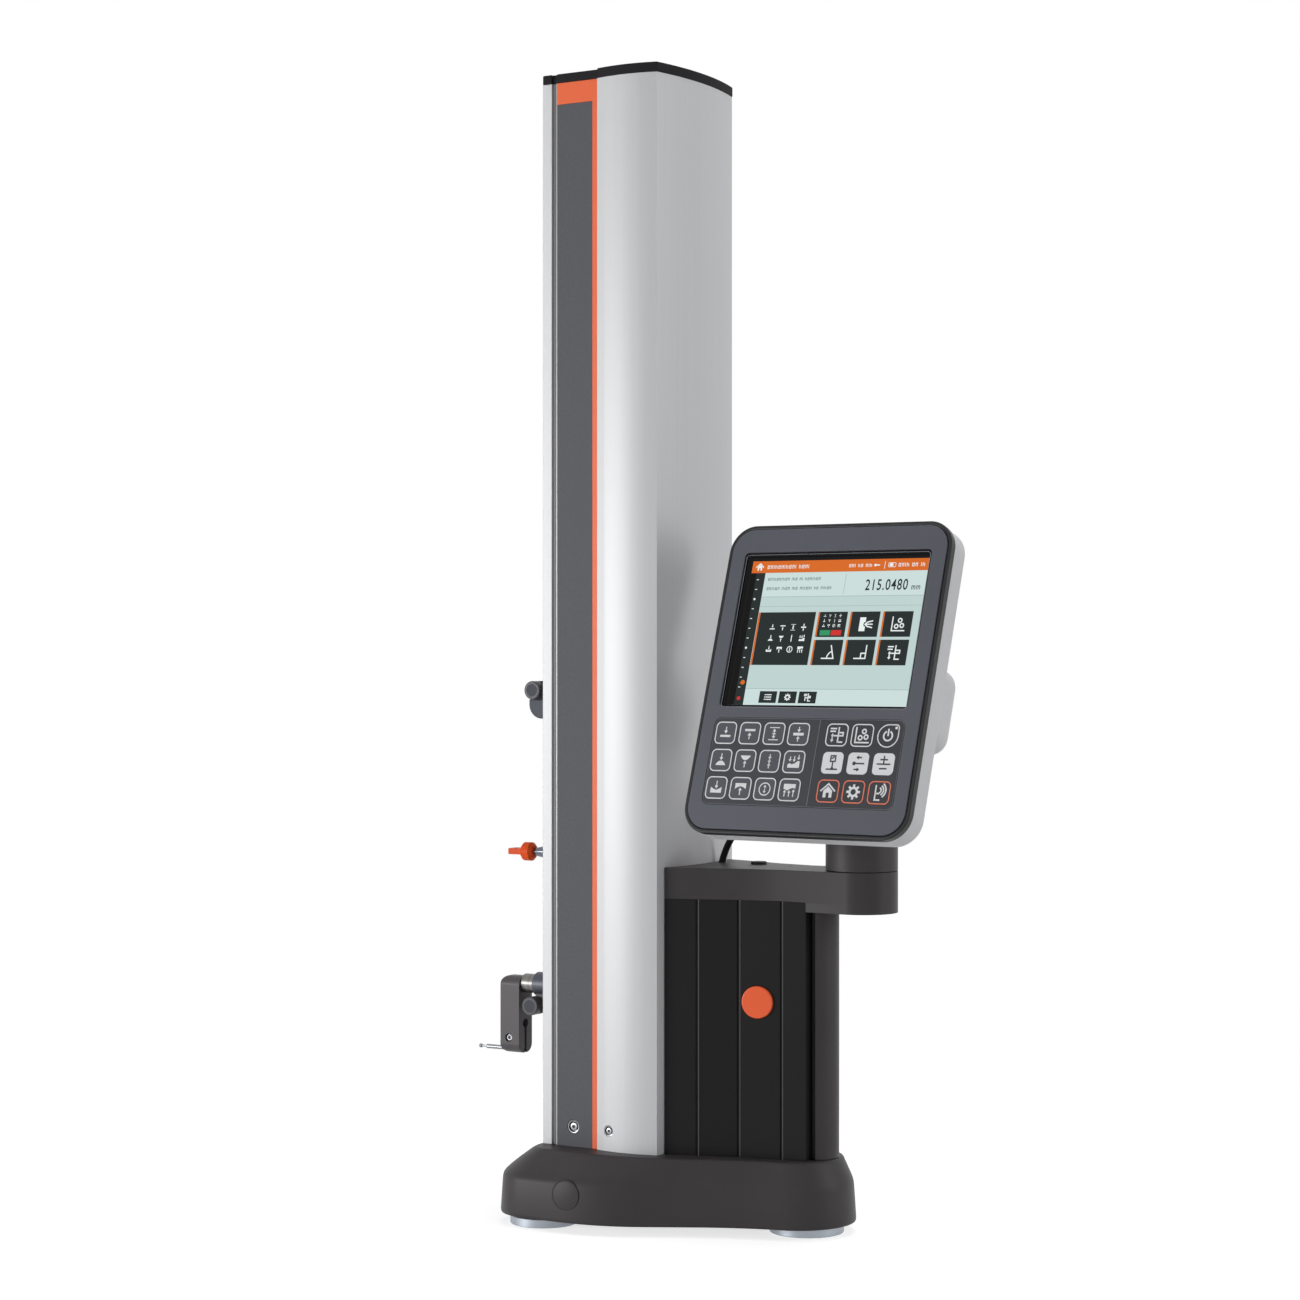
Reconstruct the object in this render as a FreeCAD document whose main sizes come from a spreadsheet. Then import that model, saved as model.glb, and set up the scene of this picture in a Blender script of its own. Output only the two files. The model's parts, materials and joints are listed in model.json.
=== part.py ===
import FreeCAD
import Part
import Sketcher
import math
import os

from FreeCAD import Placement, Rotation, Vector

# Column height gauge with a motor-driven slider, an air-bearing base, a grip and a tilting display.
# +X points from the probe to the grip, -Y to the operator, +Z up. The origin lies on the surface
# plate, below the middle of the object. Lengths are in millimetres and angles in degrees.

SIZES = {
    # Column skin
    "column_front": -138.0,
    "column_rear": -20.5,
    "column_half": 67.6,
    "skin_gap": 0.3,
    "frame_depth": 10.0,
    "frame_wall": 4.0,
    "frame_step": 1.5,
    "frame_return": 13.5,
    "slot_half": 23.0,
    "slot_bottom": 70.0,
    "slot_drop": 13.0,
    "strip_width": 1.6,
    "strip_proud": 0.5,
    "panel_depth": 36.8,
    "panel_wall": 3.0,
    "panel_inset": 1.0,
    "trim_width": 5.9,
    "trim_band": 19.0,
    "cover_wall": 3.0,
    "cover_step": 1.0,
    "cover_side_bow": 4.2,
    "cover_rear_bow": 8.0,
    "cap_bottom": 1005.0,
    "cap_thick": 8.0,
    "rear_cap_thick": 8.8,
    "cap_over": 0.5,
    "cap_notch": 2.5,
    # Base
    "foot_radius": 30.0,
    "rear_foot_radius": 32.4,
    "foot_thick": 8.0,
    "foot_stud": 8.0,
    "front_foot_x": -125.4,
    "front_foot_y": 84.0,
    "rear_foot_x": 91.0,
    "casting_bottom": 10.5,
    "casting_flange": 24.0,
    "casting_inset": 8.0,
    "casting_front": -134.0,
    "casting_rear": -18.0,
    "casting_half": 72.0,
    "cover_bottom": 9.0,
    "base_soft_line": 46.0,
    "base_top": 65.4,
    "base_wall": 4.0,
    "base_draft": 2.0,
    "base_front": -167.0,
    "base_half": 118.5,
    "base_corner": 40.0,
    "base_shoulder_x": -89.0,
    "base_shoulder_r": 150.0,
    "base_taper": 29.0,
    "base_taper_run": 47.3,
    "base_waist_r": 285.0,
    "base_tail_turn": 14.0,
    "top_front": -142.0,
    "top_half": 91.0,
    "top_corner": 22.0,
    "top_shoulder_x": -79.0,
    "top_shoulder_r": 200.0,
    "top_taper": 26.0,
    "top_taper_run": 21.8,
    "top_waist_r": 219.7,
    "top_tail_turn": 10.0,
    "plug_x": -82.5,
    "plug_z": 33.0,
    "plug_radius": 12.5,
    "plug_depth": 6.0,
    "plug_gap": 0.2,
    "battery_length": 44.0,
    "battery_half": 22.0,
    "battery_height": 26.0,
    "battery_round": 3.0,
    "pump_length": 42.0,
    "pump_half": 26.0,
    "pump_round": 4.0,
    "pump_clear": 2.0,
    # Column inside, where a drop is a distance down from the caps
    "spine_front": -89.0,
    "spine_rear": -27.0,
    "spine_half": 50.0,
    "spine_wall": 6.0,
    "spine_drop": 17.0,
    "window_half": 34.0,
    "rail_front": -104.0,
    "rail_centre": 28.0,
    "rail_half": 10.0,
    "rail_bottom": 125.0,
    "rail_drop": 20.0,
    "rail_nick": 2.0,
    "scale_front": -97.0,
    "bracket_low": 150.0,
    "bracket_drop": 105.0,
    "bracket_depth": 14.0,
    "bracket_height": 30.0,
    "pulley_x": -83.0,
    "pulley_radius": 24.0,
    "pulley_half": 6.0,
    "pulley_low": 95.0,
    "pulley_drop": 45.0,
    "pulley_clear": 6.0,
    "shaft_radius": 4.0,
    "shaft_gap": 0.05,
    "belt_gap": 0.3,
    "belt_thick": 1.5,
    "belt_half": 5.0,
    "bearing_width": 10.0,
    "bearing_half": 8.0,
    "bearing_front": -88.5,
    "bearing_rear": -76.5,
    "motor_radius": 20.0,
    "weight_front": -54.6,
    "weight_gap": 0.3,
    "weight_half": 40.0,
    "weight_drop": 425.0,
    "weight_length": 290.0,
    # Slider
    "plate_front": -126.0,
    "plate_back": -114.0,
    "plate_half": 40.0,
    "plate_bottom": 186.0,
    "plate_top": 470.0,
    "guide_gap": 0.3,
    "guide_block_rear": -92.0,
    "guide_block_half": 18.0,
    "guide_block_low": 235.0,
    "guide_block_high": 400.0,
    "guide_block_length": 40.0,
    "head_gap": 0.5,
    "head_bottom": 300.0,
    "head_length": 50.0,
    "clamp_bottom": 330.0,
    "clamp_length": 40.0,
    "clamp_half": 9.0,
    "clamp_rear": -103.0,
    "shaft_z": 197.5,
    "hub_radius": 11.0,
    "hub_front": -187.0,
    "ring_radius": 8.75,
    "arm_slope": 19.0,
    "arm_slope_end": -160.0,
    "arm_left": 8.0,
    "arm_right": 13.0,
    "knob_radius": 8.4,
    "knob_x": -184.4,
    "knob_z": 178.8,
    "knob_thick": 9.7,
    "knob_gap": 0.3,
    "stud_radius": 3.0,
    "stud_depth": 14.0,
    "upper_knob_x": -182.0,
    "upper_knob_z": 466.8,
    "lug_bottom": 440.8,
    "lug_front": -191.6,
    "lug_corner": 13.0,
    "lock_z": 318.5,
    "boss_radius": 6.6,
    "boss_front": -174.0,
    "cone_front": -189.5,
    "cone_radius": 3.6,
    "lock_back": -190.5,
    "lock_thick": 12.8,
    "lock_bevel": 2.8,
    "lock_radius": 8.5,
    "lock_stud": 36.0,
    "blade_length": 12.3,
    "blade_thick": 5.4,
    "blade_width": 15.0,
    # Probe holder and stylus
    "holder_rear": -200.6,
    "holder_depth": 20.6,
    "holder_half": 10.8,
    "holder_bottom": 133.6,
    "holder_top": 204.2,
    "holder_round": 6.5,
    "holder_side_round": 8.5,
    "relief_z": 160.5,
    "relief_radius": 4.2,
    "jaw_slot": 3.0,
    "stylus_z": 136.4,
    "stem_radius": 2.0,
    "stem_gap": 0.02,
    "stem_back": 4.0,
    "neck_radius": 0.9,
    "neck_length": 7.0,
    "stem_front": -243.0,
    "ball_radius": 1.9,
    "pin_z": 141.0,
    "pin_radius": 0.6,
    "pin_front": -231.0,
    "holder_screw_x": -212.0,
    "holder_screw_z": 147.6,
    "holder_screw_head": 2.9,
    "holder_screw_sink": 1.4,
    "holder_screw_bore": 3.8,
    "holder_screw_shank": 1.9,
    # Grip and display arm
    "grip_top": 287.5,
    "grip_front": -22.0,
    "grip_front_half": 59.0,
    "grip_first_x": 10.0,
    "grip_first_half": 50.0,
    "grip_second_x": 44.0,
    "grip_second_half": 37.5,
    "grip_third_x": 82.0,
    "grip_third_half": 30.0,
    "grip_rear": 104.0,
    "grip_rear_half": 26.5,
    "grip_wall": 3.0,
    "grip_lip": 10.0,
    "groove_radius": 1.1,
    "handle_x": 98.0,
    "handle_radius": 22.0,
    "handle_shoulder": 109.0,
    "handle_neck": 15.0,
    "plate_z": 314.5,
    "arm_underside": 279.0,
    "arm_step_x": 105.0,
    "arm_step_half": 28.8,
    "post_x": 144.3,
    "post_radius": 31.0,
    "bearing_bore": 12.0,
    "bearing_depth": 18.0,
    "socket_x": 33.6,
    "socket_y": 18.6,
    "socket_radius": 7.0,
    "socket_height": 2.5,
    "plate_screw_radius": 1.8,
    "plate_screw_1_x": 1.9,
    "plate_screw_1_y": 30.0,
    "plate_screw_2_x": 33.8,
    "plate_screw_2_y": 1.6,
    "plate_screw_3_x": 34.4,
    "plate_screw_3_y": 35.6,
    "plate_screw_4_x": 67.9,
    "plate_screw_4_y": 13.6,
    "button_x": 61.3,
    "button_z": 200.0,
    "button_radius": 14.0,
    "button_proud": 2.6,
    "button_thick": 5.0,
    "button_gap": 0.3,
    "button_travel": 2.0,
    "button_stem": 4.0,
    "button_stem_length": 9.0,
    "switch_depth": 6.0,
    "board_y": -7.0,
    "board_front_in": 4.0,
    "board_rear_in": 8.0,
    "board_bottom": 90.0,
    # Display
    "display_turn": 3.5,
    "display_tilt": 18.0,
    "display_reach": 76.0,
    "display_z": 480.7,
    "rim_width": 217.6,
    "rim_height": 274.3,
    "rim_corner": 24.0,
    "rim_band": 3.6,
    "rim_front": 0.8,
    "rim_depth": 8.0,
    "rim_ledge": 4.0,
    "face_thick": 3.0,
    "face_gap": 0.3,
    "face_margin": 24.8,
    "window_side": 17.5,
    "window_gap": 9.5,
    "window_corner": 4.0,
    "screen_side": 2.3,
    "screen_down": 2.5,
    "screen_narrow": 10.3,
    "screen_short": 9.5,
    "screen_thick": 6.0,
    "module_border": 4.0,
    "glass_border": 2.0,
    "glass_thick": 1.0,
    "display_board_in": 20.0,
    "keypad_side": 16.4,
    "keypad_height": 76.7,
    "keypad_corner": 7.0,
    "keypad_depth": 1.2,
    "keypad_thick": 0.8,
    "shell_depth": 30.0,
    "shell_inset": 0.8,
    "shell_wall": 2.6,
    "shell_round": 5.0,
    "hump_depth": 40.0,
    "hump_side": 8.8,
    "hump_top": 24.5,
    "hump_bottom": -49.5,
    "hump_round": 16.0,
    "hump_floor": 10.0,
    "hump_margin": 6.0,
    "notch_half": 22.0,
    "notch_cheek": 5.0,
    "notch_top": -8.0,
    "notch_floor": 33.5,
    "hinge_down": 25.0,
    "hinge_back": 50.0,
    "hinge_radius": 12.0,
    "hinge_pin": 4.0,
    "hinge_clear": 0.5,
    "drum_gap": 0.5,
    "drum_height": 30.0,
    "neck_half": 18.0,
    "neck_foot": 15.0,
    "neck_top": 10.0,
    "board_thick": 1.6,
    # Cable
    "cable_radius": 3.0,
    "cable_gap": 0.2,
    "cable_exit": 12.0,
    # Screws
    "panel_screw_radius": 6.0,
    "panel_screw_x": -106.2,
    "cover_screw_radius": 4.8,
    "cover_screw_out": 2.4,
    "cover_screw_x": -67.1,
    "skin_screw_z": 83.0,
    "screw_gap": 0.2,
    "screw_sink": 0.6,
}


class Size:
    """A length or angle that knows both its value and the expression that gives it."""

    def __init__(self, value, text):
        self.value = value
        self.text = text

    def __add__(self, other):
        other = size(other)
        return Size(self.value + other.value, f"({self.text} + {other.text})")

    def __sub__(self, other):
        other = size(other)
        return Size(self.value - other.value, f"({self.text} - {other.text})")

    def __mul__(self, other):
        other = size(other)
        return Size(self.value * other.value, f"({self.text} * {other.text})")

    def __truediv__(self, other):
        other = size(other)
        return Size(self.value / other.value, f"({self.text} / {other.text})")

    def __neg__(self):
        return Size(-self.value, f"(0 - {self.text})")

    def __radd__(self, other):
        return size(other) + self

    def __rsub__(self, other):
        return size(other) - self

    def __rmul__(self, other):
        return size(other) * self


def size(number):
    """Wraps a plain number as a Size."""
    return number if isinstance(number, Size) else Size(float(number), repr(float(number)))


def sin(angle):
    return Size(math.sin(math.radians(angle.value)), f"sin({angle.text} * 1 deg)")


def cos(angle):
    return Size(math.cos(math.radians(angle.value)), f"cos({angle.text} * 1 deg)")


class Cells:
    """The driving dimensions, read by name as Sizes bound to the sheet."""

    def __getattr__(self, name):
        return Size(SIZES[name], "Sizes." + name)


S = Cells()
CASTING_TOP = S.base_top - S.base_wall
SPINE_TOP = S.cap_bottom - S.spine_drop
RAIL_TOP = S.cap_bottom - S.rail_drop
PULLEY_HIGH = S.cap_bottom - S.pulley_drop
HUMP_HALF = S.rim_width / 2 - S.hump_side
doc = FreeCAD.newDocument("height_gauge")
nodes = []


def fill_sheet():
    sheet = doc.addObject("Spreadsheet::Sheet", "Sizes")
    for row, (name, value) in enumerate(SIZES.items(), start=1):
        sheet.set(f"A{row}", name)
        sheet.set(f"B{row}", str(value))
        sheet.setAlias(f"B{row}", name)
    doc.recompute()


def bind(obj, prop, amount):
    """Ties one property of an object to the sheet."""
    obj.setExpression(prop, size(amount).text)


def node(label, obj):
    obj.Label = label
    nodes.append(obj)
    return obj


def place(obj, x, y, z, rotation=Rotation()):
    x, y, z = size(x), size(y), size(z)
    obj.Placement = Placement(Vector(x.value, y.value, z.value), rotation)
    bind(obj, "Placement.Base.x", x)
    bind(obj, "Placement.Base.y", y)
    bind(obj, "Placement.Base.z", z)
    return obj


# Primitives and booleans

AXIS_TURN = {
    "X": Rotation(Vector(0, 1, 0), 90),
    "Y": Rotation(Vector(1, 0, 0), -90),
    "Z": Rotation(),
}


def block(x0, x1, y0, y1, z0, z1):
    obj = doc.addObject("Part::Box", "Block")
    bind(obj, "Length", size(x1) - x0)
    bind(obj, "Width", size(y1) - y0)
    bind(obj, "Height", size(z1) - z0)
    return place(obj, x0, y0, z0)


def rod(axis, x, y, z, radius, length):
    obj = doc.addObject("Part::Cylinder", "Rod")
    bind(obj, "Radius", radius)
    bind(obj, "Height", length)
    return place(obj, x, y, z, AXIS_TURN[axis])


def cone(axis, x, y, z, radius, far_radius, length):
    obj = doc.addObject("Part::Cone", "Cone")
    bind(obj, "Radius1", radius)
    bind(obj, "Radius2", far_radius)
    bind(obj, "Height", length)
    return place(obj, x, y, z, AXIS_TURN[axis])


def ball(x, y, z, radius):
    obj = doc.addObject("Part::Sphere", "Ball")
    bind(obj, "Radius", radius)
    return place(obj, x, y, z)


def fuse(*shapes):
    obj = doc.addObject("Part::MultiFuse", "Fuse")
    obj.Shapes = list(shapes)
    obj.Refine = True
    return obj


def cut(base, *tools):
    obj = doc.addObject("Part::Cut", "Cut")
    obj.Base = base
    obj.Tool = tools[0] if len(tools) == 1 else fuse(*tools)
    obj.Refine = True
    return obj


def common(first, second):
    obj = doc.addObject("Part::Common", "Common")
    obj.Base = first
    obj.Tool = second
    obj.Refine = True
    return obj


def group(*shapes):
    obj = doc.addObject("Part::Compound", "Group")
    obj.Links = list(shapes)
    return obj


def round_edges(obj, radius, wanted):
    """Fillets the edges of a finished shape that the test picks."""
    doc.recompute()
    picked = [n for n, e in enumerate(obj.Shape.Edges, start=1) if wanted(e)]
    fillet = doc.addObject("Part::Fillet", "Round")
    fillet.Base = obj
    fillet.Edges = [(n, size(radius).value, size(radius).value) for n in picked]
    return fillet


def along(axis):
    """A test for straight edges that run along one axis."""
    direction = {"X": Vector(1, 0, 0), "Y": Vector(0, 1, 0), "Z": Vector(0, 0, 1)}[axis]

    def wanted(edge):
        ends = [v.Point for v in edge.Vertexes]
        if len(ends) != 2:
            return False
        return ends[0].sub(ends[1]).cross(direction).Length < 1e-6

    return wanted


# Bodies, sketches and features


def body(label):
    return node(label, doc.addObject("PartDesign::Body", "Body"))


def sketch(owner, plane, lift=0.0):
    obj = owner.newObject("Sketcher::SketchObject", "Profile")
    origin = [f for f in owner.Origin.OriginFeatures if f.Role == plane + "_Plane"][0]
    obj.AttachmentSupport = [(origin, "")]
    obj.MapMode = "FlatFace"
    obj.AttachmentOffset = Placement(Vector(0, 0, size(lift).value), Rotation())
    bind(obj, "AttachmentOffset.Base.z", lift)
    return obj


def dimension(obj, amount, kind, *where):
    """Adds one dimension to a sketch and ties it to the sheet."""
    amount = size(amount)
    index = obj.addConstraint(Sketcher.Constraint(kind, *where, amount.value))
    obj.setExpression(f"Constraints[{index}]", amount.text)


def pin_point(obj, geometry, end, x, y):
    x, y = size(x), size(y)
    if abs(x.value) < 1e-9:
        obj.addConstraint(Sketcher.Constraint("PointOnObject", geometry, end, -2))
    else:
        dimension(obj, x, "DistanceX", -1, 1, geometry, end)
    if abs(y.value) < 1e-9:
        obj.addConstraint(Sketcher.Constraint("PointOnObject", geometry, end, -1))
    else:
        dimension(obj, y, "DistanceY", -1, 1, geometry, end)


def circle(obj, x, y, radius):
    x, y, radius = size(x), size(y), size(radius)
    ring = Part.Circle(Vector(x.value, y.value, 0), Vector(0, 0, 1), radius.value)
    index = obj.addGeometry(ring)
    pin_point(obj, index, 3, x, y)
    dimension(obj, radius, "Radius", index)


def arc_between(start, end, radius, left):
    """The shorter arc from start to end, and which of its ends lies at start."""
    chord = end - start
    middle = (start + end) * 0.5
    normal = Vector(-chord.y, chord.x, 0).normalize()
    rise = math.sqrt(max(radius * radius - chord.Length * chord.Length / 4, 0))
    centre = middle + normal * (rise if left else -rise)
    first, last = (start, end) if left else (end, start)
    begin = math.atan2(first.y - centre.y, first.x - centre.x)
    finish = math.atan2(last.y - centre.y, last.x - centre.x)
    while finish < begin:
        finish += 2 * math.pi
    ring = Part.Circle(centre, Vector(0, 0, 1), radius)
    return Part.ArcOfCircle(ring, begin, finish), 1 if left else 2


def outline(obj, corners):
    """Draws a closed outline. Each corner is (x, y) or (x, y, radius) for an arc to the next one,
    with a positive radius where the outline turns left and a negative one where it turns right."""
    count = len(corners)
    joints = []
    points = [Vector(size(c[0]).value, size(c[1]).value, 0) for c in corners]
    for number, corner in enumerate(corners):
        start, end = points[number], points[(number + 1) % count]
        if len(corner) == 2:
            index = obj.addGeometry(Part.LineSegment(start, end))
            near = 1
        else:
            radius = size(corner[2])
            left = radius.value > 0
            shape, near = arc_between(start, end, abs(radius.value), left)
            index = obj.addGeometry(shape)
            dimension(obj, radius if left else -radius, "Radius", index)
        pin_point(obj, index, near, corner[0], corner[1])
        joints.append((index, near))
    for number, (index, near) in enumerate(joints):
        after, after_near = joints[(number + 1) % count]
        obj.addConstraint(Sketcher.Constraint("Coincident", index, 3 - near, after, after_near))


def rectangle(obj, x0, x1, y0, y1):
    outline(obj, [(x0, y0), (x1, y0), (x1, y1), (x0, y1)])


def rounded(obj, cx, cy, width, height, corner):
    """A rectangle with round corners about a centre."""
    cx, cy, r = size(cx), size(cy), size(corner)
    w, h = size(width) / 2, size(height) / 2
    outline(obj, [
        (cx - w + r, cy - h), (cx + w - r, cy - h, r),
        (cx + w, cy - h + r), (cx + w, cy + h - r, r),
        (cx + w - r, cy + h), (cx - w + r, cy + h, r),
        (cx - w, cy + h - r), (cx - w, cy - h + r, r),
    ])


def feature(owner, kind, profile, length):
    obj = owner.newObject("PartDesign::" + kind, kind)
    obj.Profile = profile
    bind(obj, "Length", length)
    return obj


def pad(owner, profile, length):
    """Adds material from the sketch along its normal."""
    return feature(owner, "Pad", profile, length)


def pocket(owner, profile, length):
    """Takes material away from the sketch along its normal."""
    doc.recompute()
    before = owner.Shape.Volume
    obj = feature(owner, "Pocket", profile, length)
    obj.Reversed = True
    doc.recompute()
    if owner.Shape.Volume > before - 1e-6:
        raise ValueError("a pocket in " + owner.Label + " cuts nothing")
    return obj


def soften(owner, radius, wanted):
    """Fillets the edges of a body that the test picks."""
    doc.recompute()
    names = [f"Edge{n}" for n, e in enumerate(owner.Shape.Edges, start=1) if wanted(e)]
    tip = owner.Tip
    obj = owner.newObject("PartDesign::Fillet", "Fillet")
    obj.Base = (tip, names)
    bind(obj, "Radius", radius)
    return obj


def loft(owner, kind, profiles):
    obj = owner.newObject("PartDesign::" + kind, kind)
    obj.Profile = profiles[0]
    obj.Sections = profiles[1:]
    obj.Ruled = True
    return obj


# Base


def base_plan(front, half, corner, shoulder_x, shoulder_r, taper, run, waist_r, turn, inset):
    """The base seen from above: blunt front, round shoulders, a taper, a waist and a round tail."""
    inset = size(inset)
    first_x = shoulder_x + (shoulder_r - inset) * sin(taper)
    first_y = half - shoulder_r + (shoulder_r - inset) * cos(taper)
    second_x = first_x + run * cos(taper)
    second_y = first_y - run * sin(taper)
    waist_x = second_x + (waist_r + inset) * sin(taper)
    waist_y = second_y + (waist_r + inset) * cos(taper)
    third_x = waist_x - (waist_r + inset) * sin(turn)
    third_y = waist_y - (waist_r + inset) * cos(turn)
    tail_r = waist_y / cos(turn) - waist_r - inset
    side = half - inset
    lower = [
        (front + inset, half - corner),
        (front + inset, corner - half, corner - inset),
        (front + corner, -side),
        (shoulder_x, -side, shoulder_r - inset),
        (first_x, -first_y),
        (second_x, -second_y, -(waist_r + inset)),
        (third_x, -third_y, tail_r),
    ]
    upper = [
        (third_x, third_y, -(waist_r + inset)),
        (second_x, second_y),
        (first_x, first_y, shoulder_r - inset),
        (shoulder_x, side),
        (front + corner, side, corner - inset),
    ]
    return lower + upper


def wide_plan(inset):
    return base_plan(
        S.base_front, S.base_half, S.base_corner, S.base_shoulder_x, S.base_shoulder_r,
        S.base_taper, S.base_taper_run, S.base_waist_r, S.base_tail_turn, inset,
    )


def high_plan(inset):
    return base_plan(
        S.top_front, S.top_half, S.top_corner, S.top_shoulder_x, S.top_shoulder_r,
        S.top_taper, S.top_taper_run, S.top_waist_r, S.top_tail_turn, inset,
    )


def base_sections(owner, inset, top):
    """Three sections of the base cover's skin, or of its hollow."""
    levels = [
        (S.cover_bottom, wide_plan(inset)),
        (S.base_soft_line, wide_plan(S.base_draft + inset)),
        (top, high_plan(inset)),
    ]
    profiles = []
    for level, plan in levels:
        profile = sketch(owner, "XY", level)
        outline(profile, plan)
        profiles.append(profile)
    return profiles


def make_base():
    cover = doc.addObject("PartDesign::Body", "Body")
    loft(cover, "AdditiveLoft", base_sections(cover, 0.0, S.base_top))
    loft(cover, "SubtractiveLoft", base_sections(cover, S.base_wall, S.base_top - S.base_wall))
    well = sketch(cover, "XY", S.base_top - S.base_wall - 1)
    rectangle(well, S.spine_front - 1, S.spine_rear + 1, -S.spine_half - 1, S.spine_half + 1)
    pocket(cover, well, S.base_wall + 2)
    reach = S.base_half + 1
    bore = rod("Y", S.plug_x, -reach, S.plug_z, S.plug_radius + S.plug_gap, reach * 2)
    node("base_cover", cut(cover, bore))

    side = S.base_half - S.base_draft
    node("base_plugs", group(*[
        rod("Y", S.plug_x, low, S.plug_z, S.plug_radius, S.plug_depth)
        for low in (-side, side - S.plug_depth)
    ]))

    casting = body("base_casting")
    flange = sketch(casting, "XY", S.casting_bottom)
    outline(flange, wide_plan(S.casting_inset))
    pad(casting, flange, S.casting_flange - S.casting_bottom)
    seat = sketch(casting, "XY", S.casting_flange)
    rectangle(seat, S.casting_front, S.casting_rear, -S.casting_half, S.casting_half)
    pad(casting, seat, CASTING_TOP - S.casting_flange)

    feet = [
        (S.front_foot_x, -S.front_foot_y, S.foot_radius),
        (S.front_foot_x, S.front_foot_y, S.foot_radius),
        (S.rear_foot_x, size(0), S.rear_foot_radius),
    ]
    node("air_pads", group(*[
        fuse(
            rod("Z", x, y, 0, radius, S.foot_thick),
            rod("Z", x, y, S.foot_thick, S.foot_stud, S.casting_bottom - S.foot_thick),
        )
        for x, y, radius in feet
    ]))

    floor = S.casting_flange
    battery_front = S.rear_foot_x - S.battery_length
    half = S.battery_half
    battery = block(battery_front, S.rear_foot_x, -half, half, floor, floor + S.battery_height)
    pump_rear = battery_front - S.pump_clear * 2
    half = S.pump_half
    pump = block(pump_rear - S.pump_length, pump_rear, -half, half, floor, CASTING_TOP - S.pump_clear)
    node("air_pump", round_edges(pump, S.pump_round, along("Z")))
    node("battery_pack", round_edges(battery, S.battery_round, along("Z")))


# Column skin


def cover_corners(grow):
    """Corner points of the bowed rear cover: where it starts, and its crisp rear corners."""
    start_x = S.column_front + S.frame_return + S.strip_width + S.panel_depth + S.trim_width
    start_y = S.column_half + S.cover_step + grow
    rear_x = S.column_rear + grow
    rear_y = S.column_half - S.cover_step + grow
    return start_x, start_y, rear_x, rear_y


def bow_radius(dx, dy, bow):
    """Radius of an arc over a chord dx, dy that stands out by bow."""
    return (dx * dx + dy * dy + 4 * bow * bow) / (8 * bow)


def cover_path(grow, start=None):
    """Left side, rear face and right side of the rear cover, from its front to its front again."""
    x0, y0, x1, y1 = cover_corners(grow)
    x0 = x0 if start is None else start
    side = bow_radius(x1 - x0, y0 - y1, S.cover_side_bow)
    rear = bow_radius(size(0), y1 * 2, S.cover_rear_bow)
    return [(x0, -y0, side), (x1, -y1, rear), (x1, y1, side), (x0, y0)]


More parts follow.
